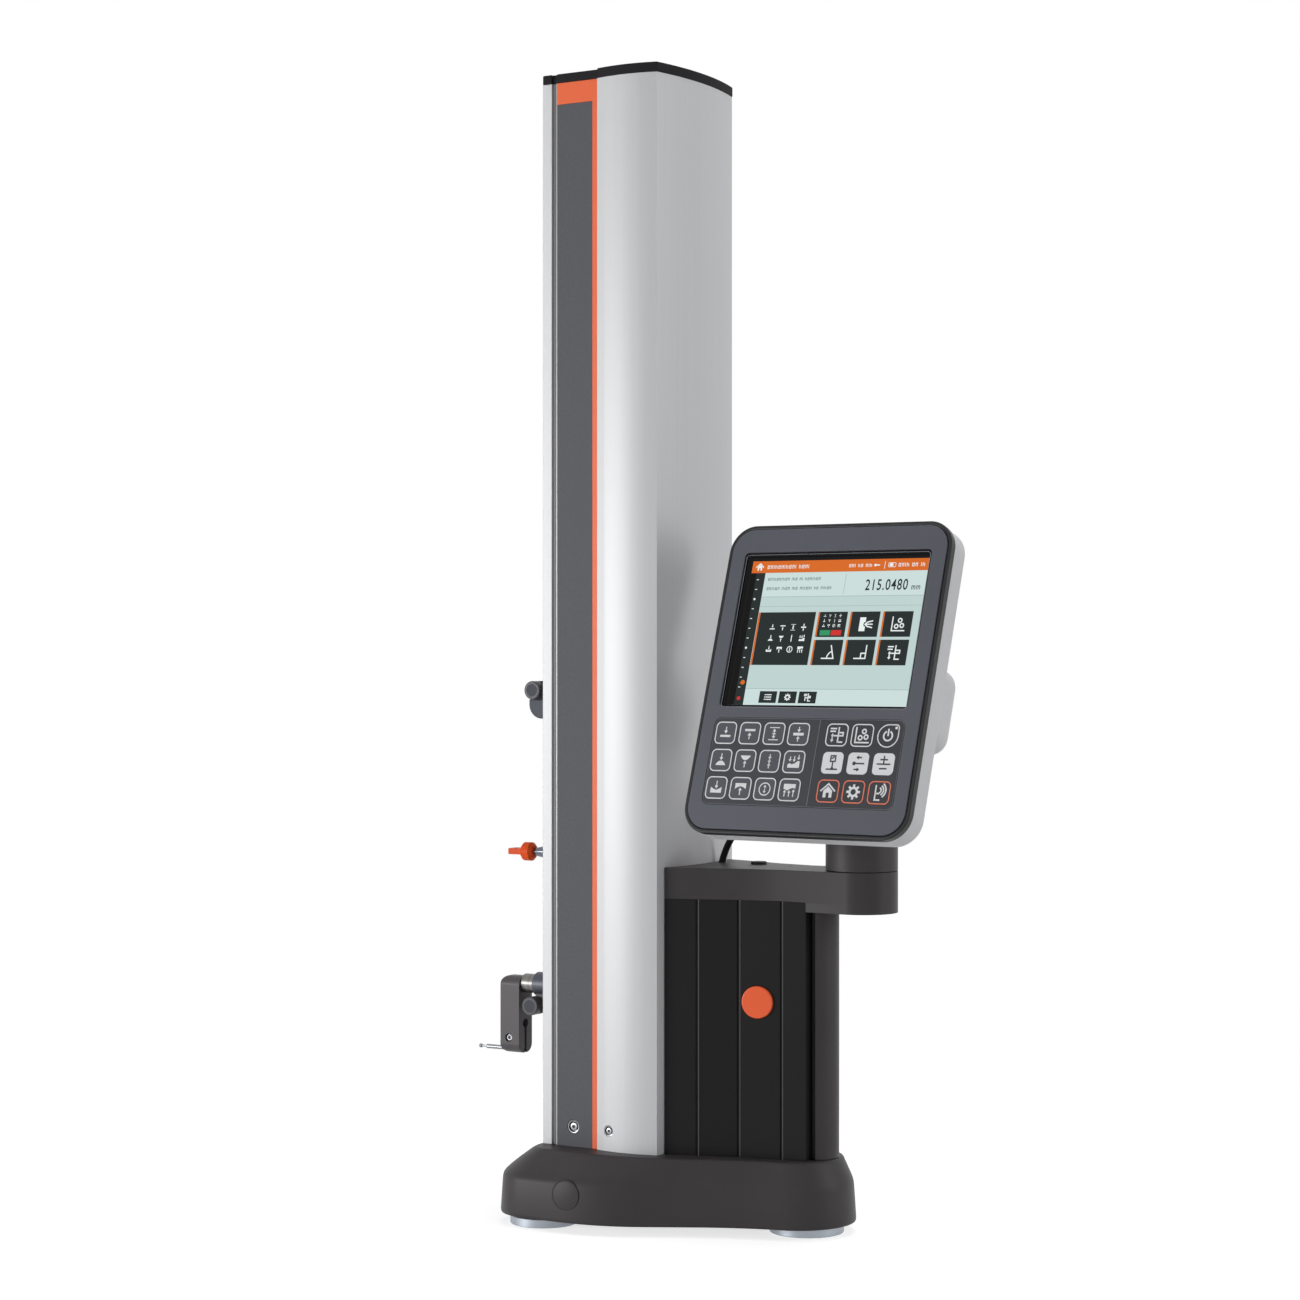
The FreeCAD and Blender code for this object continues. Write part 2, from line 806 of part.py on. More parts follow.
def make_column_skin():
    height = S.cap_bottom - S.base_top
    front = S.column_front
    step_x = front + S.frame_depth
    return_x = front + S.frame_return
    strip_x = return_x + S.strip_width
    panel_x = strip_x + S.panel_depth
    trim_x = panel_x + S.trim_width
    half = S.column_half
    inner = half - S.panel_inset - S.panel_wall

    frame = body("front_frame")
    profile = sketch(frame, "XY", S.base_top)
    right = [
        (return_x, -inner), (return_x, S.frame_step - half), (step_x, S.frame_step - half),
        (step_x, -half), (front, -half),
    ]
    left = [(x, -y) for x, y in reversed(right)]
    wall_x = front + S.frame_wall
    outline(profile, left + [(wall_x, inner), (wall_x, -inner)] + right)
    pad(frame, profile, height)
    slot = sketch(frame, "YZ", front - 1)
    rectangle(slot, -S.slot_half, S.slot_half, S.slot_bottom, S.cap_bottom - S.slot_drop)
    pocket(frame, slot, S.frame_wall + 2)

    strips, panels, trims = [], [], []
    band = S.cap_bottom - S.trim_band
    for sign in (-1, 1):
        def span(outer):
            return (-outer, -inner) if sign < 0 else (inner, outer)

        y0, y1 = span(half - S.frame_step + S.strip_proud)
        strips.append(block(return_x, strip_x, y0, y1, S.base_top, S.cap_bottom))
        y0, y1 = span(half - S.panel_inset)
        panel = block(strip_x, panel_x, y0, y1, S.base_top, band)
        hole = rod("Y", S.panel_screw_x, y0 - 1, S.skin_screw_z,
                   S.panel_screw_radius + S.screw_gap, S.panel_wall + 2)
        panels.append(cut(panel, hole))
        y0, y1 = span(half - S.panel_inset / 4)
        trim = doc.addObject("PartDesign::Body", "Body")
        profile = sketch(trim, "XZ", -y1)
        outline(profile, [
            (strip_x, band), (panel_x, band), (panel_x, S.base_top), (trim_x, S.base_top),
            (trim_x, S.cap_bottom), (strip_x, S.cap_bottom),
        ])
        pad(trim, profile, y1 - y0)
        trims.append(trim)
    node("bright_strips", group(*strips))
    node("side_panels", group(*panels))
    node("orange_trims", group(*trims))

    cover = doc.addObject("PartDesign::Body", "Body")
    profile = sketch(cover, "XY", S.base_top)
    outer = cover_path(size(0))
    inside = cover_path(-S.cover_wall, trim_x)
    back = [
        (inside[3][0], inside[3][1], -inside[2][2]),
        (inside[2][0], inside[2][1], -inside[1][2]),
        (inside[1][0], inside[1][1], -inside[0][2]),
        (inside[0][0], inside[0][1]),
    ]
    outline(profile, outer + back)
    pad(cover, profile, height)
    reach = half + 10
    bore = rod("Y", S.cover_screw_x, -reach, S.skin_screw_z,
               S.cover_screw_radius + S.screw_gap, reach * 2)
    node("rear_cover", cut(cover, bore))

    front_cap = body("top_cap_front")
    profile = sketch(front_cap, "XY", S.cap_bottom)
    over = S.cap_over
    edge = half + over
    notch = edge - S.cap_notch
    near = [
        (front - over, -edge), (step_x, -edge), (step_x, -notch), (strip_x, -notch),
        (strip_x, -edge), (trim_x, -edge),
    ]
    outline(profile, near + [(x, -y) for x, y in reversed(near)])
    pad(front_cap, profile, S.cap_thick)
    soften(front_cap, 3.0, lambda e: along("Z")(e) and e.Vertexes[0].X < front.value)
    rear_cap = body("top_cap_rear")
    profile = sketch(rear_cap, "XY", S.cap_bottom)
    path = cover_path(over, trim_x)
    outline(profile, path)
    pad(rear_cap, profile, S.rear_cap_thick)

    depth = S.panel_wall
    screws = []
    for x, radius, face in (
        (S.panel_screw_x, S.panel_screw_radius, half - S.panel_inset),
        (S.cover_screw_x, S.cover_screw_radius, half + S.cover_step + S.cover_screw_out),
    ):
        seat = face - S.screw_sink
        for low in (-seat, seat - depth):
            screws.append(rod("Y", x, low, S.skin_screw_z, radius, depth))
    node("column_screws", group(*screws))


# Column inside


def make_column_inside():
    half, wall = S.spine_half, S.spine_wall
    spine = body("column_spine")
    tube = sketch(spine, "XY", CASTING_TOP)
    rectangle(tube, S.spine_front, S.spine_rear, -half, half)
    pad(spine, tube, SPINE_TOP - CASTING_TOP)
    bore = sketch(spine, "XY", CASTING_TOP - 1)
    rectangle(bore, S.spine_front + wall, S.spine_rear - wall, wall - half, half - wall)
    pocket(spine, bore, SPINE_TOP - CASTING_TOP + 2)
    reach = S.pulley_radius + S.pulley_clear
    for low, high in (
        (S.pulley_low - reach, S.pulley_low + reach),
        (PULLEY_HIGH - reach, SPINE_TOP + 1),
    ):
        window = sketch(spine, "YZ", S.spine_front - 1)
        rectangle(window, -S.window_half, S.window_half, low, high)
        pocket(spine, window, wall + 2)

    rail_y = -S.rail_centre
    rail = body("guide_rail")
    profile = sketch(rail, "XY", S.rail_bottom)
    nick = S.rail_nick
    rear, front, r = S.spine_front, S.rail_front, S.rail_half
    outline(profile, [
        (rear, rail_y - r), (rear, rail_y + r), (rear - 6, rail_y + r),
        (rear - 8, rail_y + r - nick), (rear - 10, rail_y + r), (front, rail_y + r),
        (front, rail_y - r), (rear - 10, rail_y - r), (rear - 8, rail_y - r + nick),
        (rear - 6, rail_y - r),
    ])
    pad(rail, profile, RAIL_TOP - S.rail_bottom)
    scale_y = S.rail_centre
    scale = block(S.scale_front, S.spine_front, scale_y - r, scale_y + r, S.rail_bottom, RAIL_TOP)
    node("linear_scale", scale)

    inner = S.column_half - S.panel_inset - S.panel_wall
    node("panel_brackets", group(*[
        block(S.spine_front, S.spine_front + S.bracket_depth, y0, y1, level, level + S.bracket_height)
        for level in (S.bracket_low, S.cap_bottom - S.bracket_drop)
        for y0, y1 in ((-inner, -half), (half, inner))
    ]))


def make_drive():
    x = S.pulley_x
    belt_in = S.pulley_radius + S.belt_gap
    belt_out = belt_in + S.belt_thick
    belt = body("drive_belt")
    profile = sketch(belt, "XZ", -S.belt_half)
    for r in (belt_out, belt_in):
        outline(profile, [
            (x - r, PULLEY_HIGH), (x - r, S.pulley_low, r), (x, S.pulley_low - r, r),
            (x + r, S.pulley_low), (x + r, PULLEY_HIGH, r), (x, PULLEY_HIGH + r, r),
        ])
    pad(belt, profile, S.belt_half * 2)

    w = S.pulley_half
    seat = S.window_half - S.bearing_width
    axle_start = 1 - S.window_half
    motor_face = w + 2
    for name, z, axle_end in (
        ("top_pulley", PULLEY_HIGH, -axle_start),
        ("drive_pulley", S.pulley_low, motor_face - S.belt_gap),
    ):
        wheel = rod("Y", x, -w, z, S.pulley_radius, w * 2)
        axle = rod("Y", x, axle_start, z, S.shaft_radius, axle_end - axle_start)
        node(name, fuse(wheel, axle))

    def bearing(z, y0):
        box = block(S.bearing_front, S.bearing_rear, y0, y0 + S.bearing_width,
                    z - S.bearing_half, z + S.bearing_half)
        return cut(box, rod("Y", x, y0 - 1, z, S.shaft_radius + S.shaft_gap, S.bearing_width + 2))

    blocks = [
        bearing(PULLEY_HIGH, -S.window_half),
        bearing(PULLEY_HIGH, seat),
        bearing(S.pulley_low, -S.window_half),
    ]
    node("bearing_blocks", group(*blocks))
    node("drive_motor", rod("Y", x, motor_face, S.pulley_low, S.motor_radius,
                            S.window_half - motor_face))

    runner_x = S.spine_rear - S.spine_wall - S.weight_gap
    low = S.cap_bottom - S.weight_drop
    weight = block(S.weight_front, runner_x, -S.weight_half, S.weight_half,
                   low, low + S.weight_length)
    node("counterweight", round_edges(weight, 3, along("Z")))


# Slider


def make_slider():
    rail_y = -S.rail_centre
    node("slider_plate", round_edges(
        block(S.plate_front, S.plate_back, -S.plate_half, S.plate_half, S.plate_bottom, S.plate_top),
        3, along("X")))

    def guide_block(low):
        high = low + S.guide_block_length
        whole = block(S.plate_back, S.guide_block_rear, rail_y - S.guide_block_half,
                      rail_y + S.guide_block_half, low, high)
        gap = S.guide_gap
        channel = block(S.rail_front - gap, S.guide_block_rear + 1, rail_y - S.rail_half - gap,
                        rail_y + S.rail_half + gap, low - 1, high + 1)
        return cut(whole, channel)

    node("guide_blocks", group(guide_block(S.guide_block_low), guide_block(S.guide_block_high)))
    head_y = S.rail_centre
    node("read_head", block(S.plate_back, S.scale_front - S.head_gap, head_y - 12, head_y + 12,
                            S.head_bottom, S.head_bottom + S.head_length))
    belt_front = S.pulley_x - S.pulley_radius - S.belt_gap - S.belt_thick
    gap = S.belt_gap
    top = S.clamp_bottom + S.clamp_length
    whole = block(S.plate_back, S.clamp_rear, -S.clamp_half, S.clamp_half, S.clamp_bottom, top)
    channel = block(belt_front - gap, S.clamp_rear + 1, -S.belt_half - gap, S.belt_half + gap,
                    S.clamp_bottom - 1, top + 1)
    node("belt_clamp", cut(whole, channel))

    node("shaft_hub", rod("X", S.hub_front, 0, S.shaft_z, S.hub_radius,
                          S.plate_front - S.hub_front))
    node("probe_shaft", rod("X", S.holder_rear, 0, S.shaft_z, S.ring_radius,
                            S.hub_front - S.holder_rear))

    arm = clamp_arm(S.knob_x, S.knob_z, S.arm_slope, S.shaft_z - 6)
    saddle_front = S.knob_x - S.knob_radius - 1
    saddle = rod("X", saddle_front, 0, S.shaft_z, S.hub_radius + S.skin_gap,
                 S.plate_front - saddle_front + 1)
    stud_bore = rod("Y", S.knob_x, -S.arm_left - 1, S.knob_z, S.stud_radius + S.shaft_gap,
                    S.stud_depth + 2)
    lower_arm = cut(arm, saddle, stud_bore)
    node("shaft_clamp_knob", thumb_knob(S.knob_x, S.knob_z))

    upper_bottom = S.upper_knob_z - S.knob_radius
    upper = clamp_arm(S.upper_knob_x, S.upper_knob_z, size(0), S.upper_knob_z + S.knob_radius)
    upper_bore = rod("Y", S.upper_knob_x, -S.arm_left - 1, S.upper_knob_z,
                     S.stud_radius + S.shaft_gap, S.stud_depth + 2)
    node("slider_arms", group(lower_arm, cut(upper, upper_bore)))
    node("upper_knob", thumb_knob(S.upper_knob_x, S.upper_knob_z))
    lug = body("upper_lug")
    profile = sketch(lug, "XZ", -S.arm_right)
    corner = S.lug_corner
    outline(profile, [
        (S.lug_front, S.lug_bottom + corner, corner), (S.lug_front + corner, S.lug_bottom),
        (S.plate_front, S.lug_bottom), (S.plate_front, upper_bottom), (S.lug_front, upper_bottom),
    ])
    pad(lug, profile, S.arm_left + S.arm_right)

    boss = fuse(
        rod("X", S.boss_front, 0, S.lock_z, S.boss_radius, S.plate_front - S.boss_front),
        cone("X", S.cone_front, 0, S.lock_z, S.cone_radius, S.boss_radius,
             S.boss_front - S.cone_front),
    )
    bore = rod("X", S.cone_front - 1, 0, S.lock_z, S.stud_radius + S.shaft_gap, S.lock_stud + 4)
    node("lock_boss", cut(boss, bore))
    head_front = S.lock_back - S.lock_thick
    bevel = S.lock_bevel
    rim = S.lock_radius - bevel
    head = fuse(
        cone("X", head_front, 0, S.lock_z, rim, S.lock_radius, bevel),
        rod("X", head_front + bevel, 0, S.lock_z, S.lock_radius, S.lock_thick - bevel * 2),
        cone("X", S.lock_back - bevel, 0, S.lock_z, S.lock_radius, rim, bevel),
    )
    blade = block(head_front - S.blade_length, S.lock_back - 2, -S.blade_width / 2,
                  S.blade_width / 2, S.lock_z - S.blade_thick / 2, S.lock_z + S.blade_thick / 2)
    blade = round_edges(blade, 2, along("Z"))
    stud = rod("X", S.lock_back, 0, S.lock_z, S.stud_radius, S.lock_stud)
    node("lock_knob", fuse(head, blade, stud))


def clamp_arm(x, z, slope, top):
    """An arm from the slider plate with a round end about a knob, and a sloping underside."""
    r = S.knob_radius
    low_x, low_z = x + r * sin(slope), z - r * cos(slope)
    end = S.arm_slope_end
    end_z = low_z + (end - low_x) * sin(slope) / cos(slope)
    arm = doc.addObject("PartDesign::Body", "Body")
    profile = sketch(arm, "XZ", -S.arm_right)
    under = [(low_x, low_z), (end, end_z)] if slope.value else [(low_x, low_z)]
    crown = [(x, top)] if top.value > (z + r).value + 1e-6 else []
    outline(profile, under + [
        (S.plate_front, end_z), (S.plate_front, top), *crown, (x, z + r, r), (x - r, z, r),
    ])
    pad(arm, profile, S.arm_left + S.arm_right)
    return arm


def thumb_knob(x, z):
    """A round knob on the operator's side with its stud in the arm."""
    face = -S.arm_left - S.knob_gap
    head = rod("Y", x, face - S.knob_thick, z, S.knob_radius, S.knob_thick)
    stud = rod("Y", x, face, z, S.stud_radius, S.stud_depth)
    return fuse(head, stud)


def make_probe():
    front = S.holder_rear - S.holder_depth
    half = S.holder_half
    side = doc.addObject("PartDesign::Body", "Body")
    profile = sketch(side, "XZ", -half)
    r = S.holder_round
    outline(profile, [
        (front + r, S.holder_bottom), (S.holder_rear, S.holder_bottom),
        (S.holder_rear, S.holder_top), (front + r, S.holder_top, r),
        (front, S.holder_top - r), (front, S.holder_bottom + r, r),
    ])
    pad(side, profile, half * 2)
    holder = doc.addObject("PartDesign::Body", "Body")
    profile = sketch(holder, "YZ", front)
    middle = (S.holder_top + S.holder_bottom) / 2
    rounded(profile, 0, middle, half * 2, S.holder_top - S.holder_bottom, S.holder_side_round)
    pad(holder, profile, S.holder_depth)
    keyhole = sketch(holder, "YZ", front - 1)
    slot = S.jaw_slot / 2
    rectangle(keyhole, -slot, slot, S.holder_bottom - 1, S.relief_z)
    pocket(holder, keyhole, S.holder_depth + 2)
    for z, radius in ((S.relief_z, S.relief_radius), (S.stylus_z, S.stem_radius + S.stem_gap)):
        ring = sketch(holder, "YZ", front - 1)
        circle(ring, 0, z, radius)
        pocket(holder, ring, S.holder_depth + 2)
    x, z = S.holder_screw_x, S.holder_screw_z
    head_depth = S.holder_screw_sink + 3
    sink = rod("Y", x, -half - 1, z, S.holder_screw_bore, head_depth + 1)
    bore_depth = half * 2 - 2
    shank = rod("Y", x, -half, z, S.holder_screw_shank + S.shaft_gap, bore_depth)
    node("probe_holder", cut(common(side, holder), sink, shank))

    head = rod("Y", x, head_depth - half - 3, z, S.holder_screw_head, 3)
    thread = rod("Y", x, head_depth - half, z, S.holder_screw_shank, bore_depth - head_depth - 1)
    socket = doc.addObject("Part::Prism", "Socket")
    socket.Polygon = 6
    socket.Circumradius = 1.7
    socket.Height = 2.5
    place(socket, x, head_depth - half - 3.5, z, AXIS_TURN["Y"])
    node("holder_screw", cut(fuse(head, thread), socket))

    stem = rod("X", S.stem_front, 0, S.stylus_z, S.stem_radius,
               S.holder_rear - S.stem_back - S.stem_front)
    neck = rod("X", S.stem_front - S.neck_length, 0, S.stylus_z, S.neck_radius, S.neck_length)
    tip = ball(S.stem_front - S.neck_length, 0, S.stylus_z, S.ball_radius)
    node("stylus", fuse(stem, neck, tip))
    node("locating_pin", rod("X", S.pin_front, 3.5, S.pin_z, S.pin_radius, front - S.pin_front))


# Grip and display arm


def grip_side(inset):
    """Corners of one flank of the grip, seen from above, from the column to the handle."""
    return [
        (S.grip_front, S.grip_front_half - inset),
        (S.grip_first_x, S.grip_first_half - inset),
        (S.grip_second_x, S.grip_second_half - inset),
        (S.grip_third_x, S.grip_third_half - inset),
    ]


def button_place():
    """Centre and turn of the round button on the flank between the second and third groove."""
    dx = (S.grip_third_x - S.grip_second_x).value
    dy = (S.grip_second_half - S.grip_third_half).value
    share = (S.button_x.value - S.grip_second_x.value) / dx
    y = -S.grip_second_half.value + share * dy
    turn = math.degrees(math.atan2(dy, dx))
    return Vector(S.button_x.value, y, S.button_z.value), turn


def facing_out(distance):
    """A placement whose own +Z points out of the button's flank, distance out from its surface."""
    centre, turn = button_place()
    rotation = Rotation(Vector(0, 0, 1), turn) * Rotation(Vector(1, 0, 0), 90)
    outward = rotation.multVec(Vector(0, 0, 1))
    return Placement(centre + outward * distance, rotation)


def button_rod(radius, start, length):
    obj = doc.addObject("Part::Cylinder", "Rod")
    bind(obj, "Radius", radius)
    bind(obj, "Height", length)
    obj.Placement = facing_out(size(start).value)
    return obj


def keep_out():
    """The space of the rear cover, a hair larger, that the grip is cut back from."""
    owner = doc.addObject("PartDesign::Body", "Body")
    profile = sketch(owner, "XY", S.base_top - 1)
    outline(profile, cover_path(S.skin_gap))
    pad(owner, profile, S.plate_z - S.base_top + 2)
    return owner


def make_grip():
    wall = S.grip_wall
    for side, sign in (("left", -1), ("right", 1)):
        shell = doc.addObject("PartDesign::Body", "Body")
        profile = sketch(shell, "XY", S.base_top)
        rear = S.grip_rear
        path = grip_side(size(0)) + [
            (rear, S.grip_rear_half), (rear, S.grip_lip), (rear - wall, S.grip_lip),
            (rear - wall, S.grip_rear_half - wall),
        ] + list(reversed(grip_side(wall)))
        outline(profile, [(x, y * sign) for x, y in path])
        pad(shell, profile, S.grip_top - S.base_top)
        grooves = sketch(shell, "XY", S.base_top - 1)
        for x, y in grip_side(size(0))[1:]:
            circle(grooves, x, y * sign, S.groove_radius)
        pocket(shell, grooves, S.grip_top - S.base_top + 2)
        tools = [keep_out()]
        if sign < 0:
            tools.append(button_rod(S.button_radius + S.button_gap, -8, 14))
        node("grip_shell_" + side, cut(shell, *tools))

    handle = body("grip_handle")
    profile = sketch(handle, "XY", S.base_top)
    shoulder, neck = S.handle_shoulder, S.handle_neck
    reach = shoulder - S.handle_x
    half = math.sqrt(S.handle_radius.value ** 2 - reach.value ** 2)
    rise = Size(half, f"sqrt({S.handle_radius.text} ^ 2 - {reach.text} ^ 2)")
    outline(profile, [
        (S.grip_rear, neck), (S.grip_rear, -neck), (shoulder, -neck),
        (shoulder, -rise, S.handle_radius), (shoulder, rise), (shoulder, neck),
    ])
    pad(handle, profile, S.arm_underside - S.base_top)

    arm = doc.addObject("PartDesign::Body", "Body")
    profile = sketch(arm, "XY", S.grip_top)
    flank = grip_side(size(0))
    x, r = S.post_x, S.post_radius
    lower = [(px, -py) for px, py in flank]
    outline(profile, lower + [(x, -r, r), (x + r, 0, r), (x, r)] + list(reversed(flank)))
    pad(arm, profile, S.plate_z - S.grip_top)
    deep = sketch(arm, "XY", S.arm_underside)
    step, step_half = S.arm_step_x, S.arm_step_half
    outline(deep, [
        (step, step_half), (step, -step_half), (x, -r, r), (x + r, 0, r), (x, r),
    ])
    pad(arm, deep, S.grip_top - S.arm_underside)
    bore = rod("Z", x, 0, S.plate_z - S.bearing_depth, S.bearing_bore + S.shaft_gap,
               S.bearing_depth + 1)
    socket = rod("Z", S.socket_x, S.socket_y, S.plate_z - 4, S.socket_radius + 0.1, 5)
    screw_places = [
        (getattr(S, f"plate_screw_{n}_x"), getattr(S, f"plate_screw_{n}_y")) for n in (1, 2, 3, 4)
    ]
    pits = [
        rod("Z", px, py, S.plate_z - 2.5, S.plate_screw_radius + 0.1, 3.5)
        for px, py in screw_places
    ]
    start, onward = (Vector(*point) for point in CABLE_ROUTE[:2])
    outlet = doc.addObject("Part::Cylinder", "Outlet")
    bind(outlet, "Radius", S.cable_radius + S.cable_gap)
    bind(outlet, "Height", S.cable_exit)
    outlet.Placement = Placement(start, Rotation(Vector(0, 0, 1), onward - start))
    node("display_arm", cut(arm, keep_out(), bore, socket, outlet, *pits))
    node("arm_socket", rod("Z", S.socket_x, S.socket_y, S.plate_z - 4, S.socket_radius,
                           4 + S.socket_height))
    node("arm_screws", group(*[
        rod("Z", px, py, S.plate_z - 2.5, S.plate_screw_radius, 2.2) for px, py in screw_places
    ]))

    face = S.button_proud - S.button_thick
    head = button_rod(S.button_radius, face, S.button_thick)
    stem = button_rod(S.button_stem, face - S.button_stem_length, S.button_stem_length)
    node("float_button", fuse(head, stem))
    back = face - S.button_travel - 0.5
    switch_face = face - S.button_stem_length - S.button_travel - 0.3
    guide_outer = button_rod(11.0, switch_face - S.switch_depth, back - switch_face + S.switch_depth)
    guide_bore = button_rod(S.button_stem + 3.2, switch_face, back - switch_face + 1)
    board_y = S.board_y
    foot = block(S.button_x - 10, S.button_x + 6, board_y - 8, board_y, S.button_z - 8, S.button_z + 8)
    node("float_switch", cut(fuse(guide_outer, foot), guide_bore))
    spring_outer = button_rod(S.button_stem + 2.6, switch_face, face - switch_face)
    spring_bore = button_rod(S.button_stem + 0.6, switch_face - 1, face - switch_face + 2)
    node("button_spring", cut(spring_outer, spring_bore))
    node("main_board", block(
        S.grip_first_x - S.board_front_in, S.grip_rear - S.board_rear_in,
        board_y, board_y + S.board_thick, S.board_bottom, S.grip_top,
    ))


# Display


def display_frame():
    """The display's own axes: X across, Y up the face, Z out of the face."""
    turn = Rotation(Vector(0, 0, 1), -S.display_turn.value)
    rotation = turn * Rotation(Vector(1, 0, 0), 90 - S.display_tilt.value)
    offset = turn.multVec(Vector(0, -S.display_reach.value, 0))
    return Placement(Vector(S.post_x.value, 0, S.display_z.value) + offset, rotation)


def on_display(obj):
    """Stands a finished piece on the display's own axes."""
    turn = S.display_turn
    obj.Placement = display_frame()
    bind(obj, "Placement.Base.x", S.post_x - S.display_reach * sin(turn))
    bind(obj, "Placement.Base.y", -(S.display_reach * cos(turn)))
    bind(obj, "Placement.Base.z", S.display_z)
    return obj


def make_display():
    window_width = S.rim_width - S.window_side * 2
    window_height = S.rim_height - S.face_margin * 2 - S.window_gap - S.keypad_height
    window_up = S.rim_height / 2 - S.face_margin - window_height / 2
    keypad_width = S.rim_width - S.keypad_side * 2
    keypad_up = S.face_margin + S.keypad_height / 2 - S.rim_height / 2
    rim = body("display_rim")
    profile = sketch(rim, "XY", -S.rim_depth)
    rounded(profile, 0, 0, S.rim_width, S.rim_height, S.rim_corner)
    band = S.rim_band
    ledge = band + S.rim_ledge
    rounded(profile, 0, 0, S.rim_width - ledge * 2, S.rim_height - ledge * 2, S.rim_corner - ledge)
    pad(rim, profile, S.rim_depth - S.rim_front)
    seat = sketch(rim, "XY", -S.face_thick)
    hole_w, hole_h = S.rim_width - band * 2, S.rim_height - band * 2
    rounded(seat, 0, 0, hole_w, hole_h, S.rim_corner - band)
    pocket(rim, seat, S.face_thick)
    on_display(rim)

    face = body("face_plate")
    profile = sketch(face, "XY", -S.face_thick)
    gap = S.face_gap * 2
    rounded(profile, 0, 0, hole_w - gap, hole_h - gap, S.rim_corner - band - S.face_gap)
    rounded(profile, 0, window_up, window_width, window_height, S.window_corner)
    pad(face, profile, S.face_thick)
    recess = sketch(face, "XY", -S.keypad_depth)
    rounded(recess, 0, keypad_up, keypad_width, S.keypad_height, S.keypad_corner)
    pocket(face, recess, S.keypad_depth + 1)
    on_display(face)

    sheet_in = S.face_gap * 2
    keypad = body("keypad_sheet")
    profile = sketch(keypad, "XY", -S.keypad_depth)
    rounded(profile, 0, keypad_up, keypad_width - sheet_in, S.keypad_height - sheet_in,
            S.keypad_corner - S.face_gap)
    pad(keypad, profile, S.keypad_thick)
    on_display(keypad)

    glass = body("touch_glass")
    profile = sketch(glass, "XY", -S.face_thick - S.glass_thick)
    border = S.glass_border * 2
    rounded(profile, 0, window_up, window_width + border, window_height + border, S.window_corner)
    pad(glass, profile, S.glass_thick)
    on_display(glass)

    module = body("lcd_module")
    back = S.face_thick + S.glass_thick
    profile = sketch(module, "XY", -back - S.screen_thick)
    width = window_width - S.screen_narrow + S.module_border * 2
    height = window_height - S.screen_short + S.module_border * 2
    rounded(profile, S.screen_side, window_up - S.screen_down, width, height, 2.0)
    pad(module, profile, S.screen_thick)
    on_display(module)

    board = body("display_board")
    profile = sketch(board, "XY", -back - S.screen_thick - S.board_thick)
    less = S.display_board_in * 2
    rounded(profile, 0, 0, S.rim_width - less, S.rim_height - less, 4.0)
    pad(board, profile, S.board_thick)
    on_display(board)
    make_display_shell()


def make_display_shell():
    shell = doc.addObject("PartDesign::Body", "Body")
    inset = S.shell_inset * 2
    wall = S.shell_wall
    full_w, full_h = S.rim_width - inset, S.rim_height - inset
    corner = S.rim_corner - S.shell_inset
    back = S.shell_depth
    deep = back + S.hump_depth
    profile = sketch(shell, "XY", -back)
    rounded(profile, 0, 0, full_w, full_h, corner)
    pad(shell, profile, back - S.rim_depth)
    soften(shell, S.shell_round, lambda e: all(v.Z < -back.value + 1e-6 for v in e.Vertexes))
    hump = sketch(shell, "XY", -deep)
    middle = (S.hump_top + S.hump_bottom) / 2
    tall = S.hump_top - S.hump_bottom
    rounded(hump, 0, middle, HUMP_HALF * 2, tall, S.hump_round)
    pad(shell, hump, S.hump_depth + 1)
    soften(shell, S.hump_round - 1, lambda e: all(v.Z < -deep.value + 1e-6 for v in e.Vertexes))
    cavity = sketch(shell, "XY", -back + wall)
    rounded(cavity, 0, 0, full_w - wall * 2, full_h - wall * 2, corner - wall)
    pocket(shell, cavity, back)
    cheek = S.notch_half + S.notch_cheek
    margin = S.hump_margin
    width = HUMP_HALF - margin - cheek
    for sign in (-1, 1):
        room = sketch(shell, "XY", -deep + S.hump_floor)
        rounded(room, (cheek + width / 2) * sign, middle, width, tall - margin * 2, margin + 2)
        pocket(shell, room, deep - S.hump_floor)
    notch = sketch(shell, "XY", -deep - 1)
    rectangle(notch, -S.notch_half, S.notch_half, S.hump_bottom - 1, S.notch_top)
    pocket(shell, notch, deep + 1 - S.notch_floor)
    pin_hole = rod("X", -cheek - 10, -S.hinge_down, -S.hinge_back, S.hinge_pin, cheek * 2 + 20)
    node("display_shell", on_display(cut(shell, pin_hole)))
    pin = rod("X", -cheek, -S.hinge_down, -S.hinge_back, S.hinge_pin, cheek * 2)
    node("hinge_pin", on_display(group(pin)))


def hinge_point():
    """Where the tilt axis passes the post's own upright plane: how far forward, and how high."""
    tilt = S.display_tilt
    forward = S.display_reach - S.hinge_back * cos(tilt) + S.hinge_down * sin(tilt)
    height = S.display_z - S.hinge_down * cos(tilt) - S.hinge_back * sin(tilt)
    return forward, height


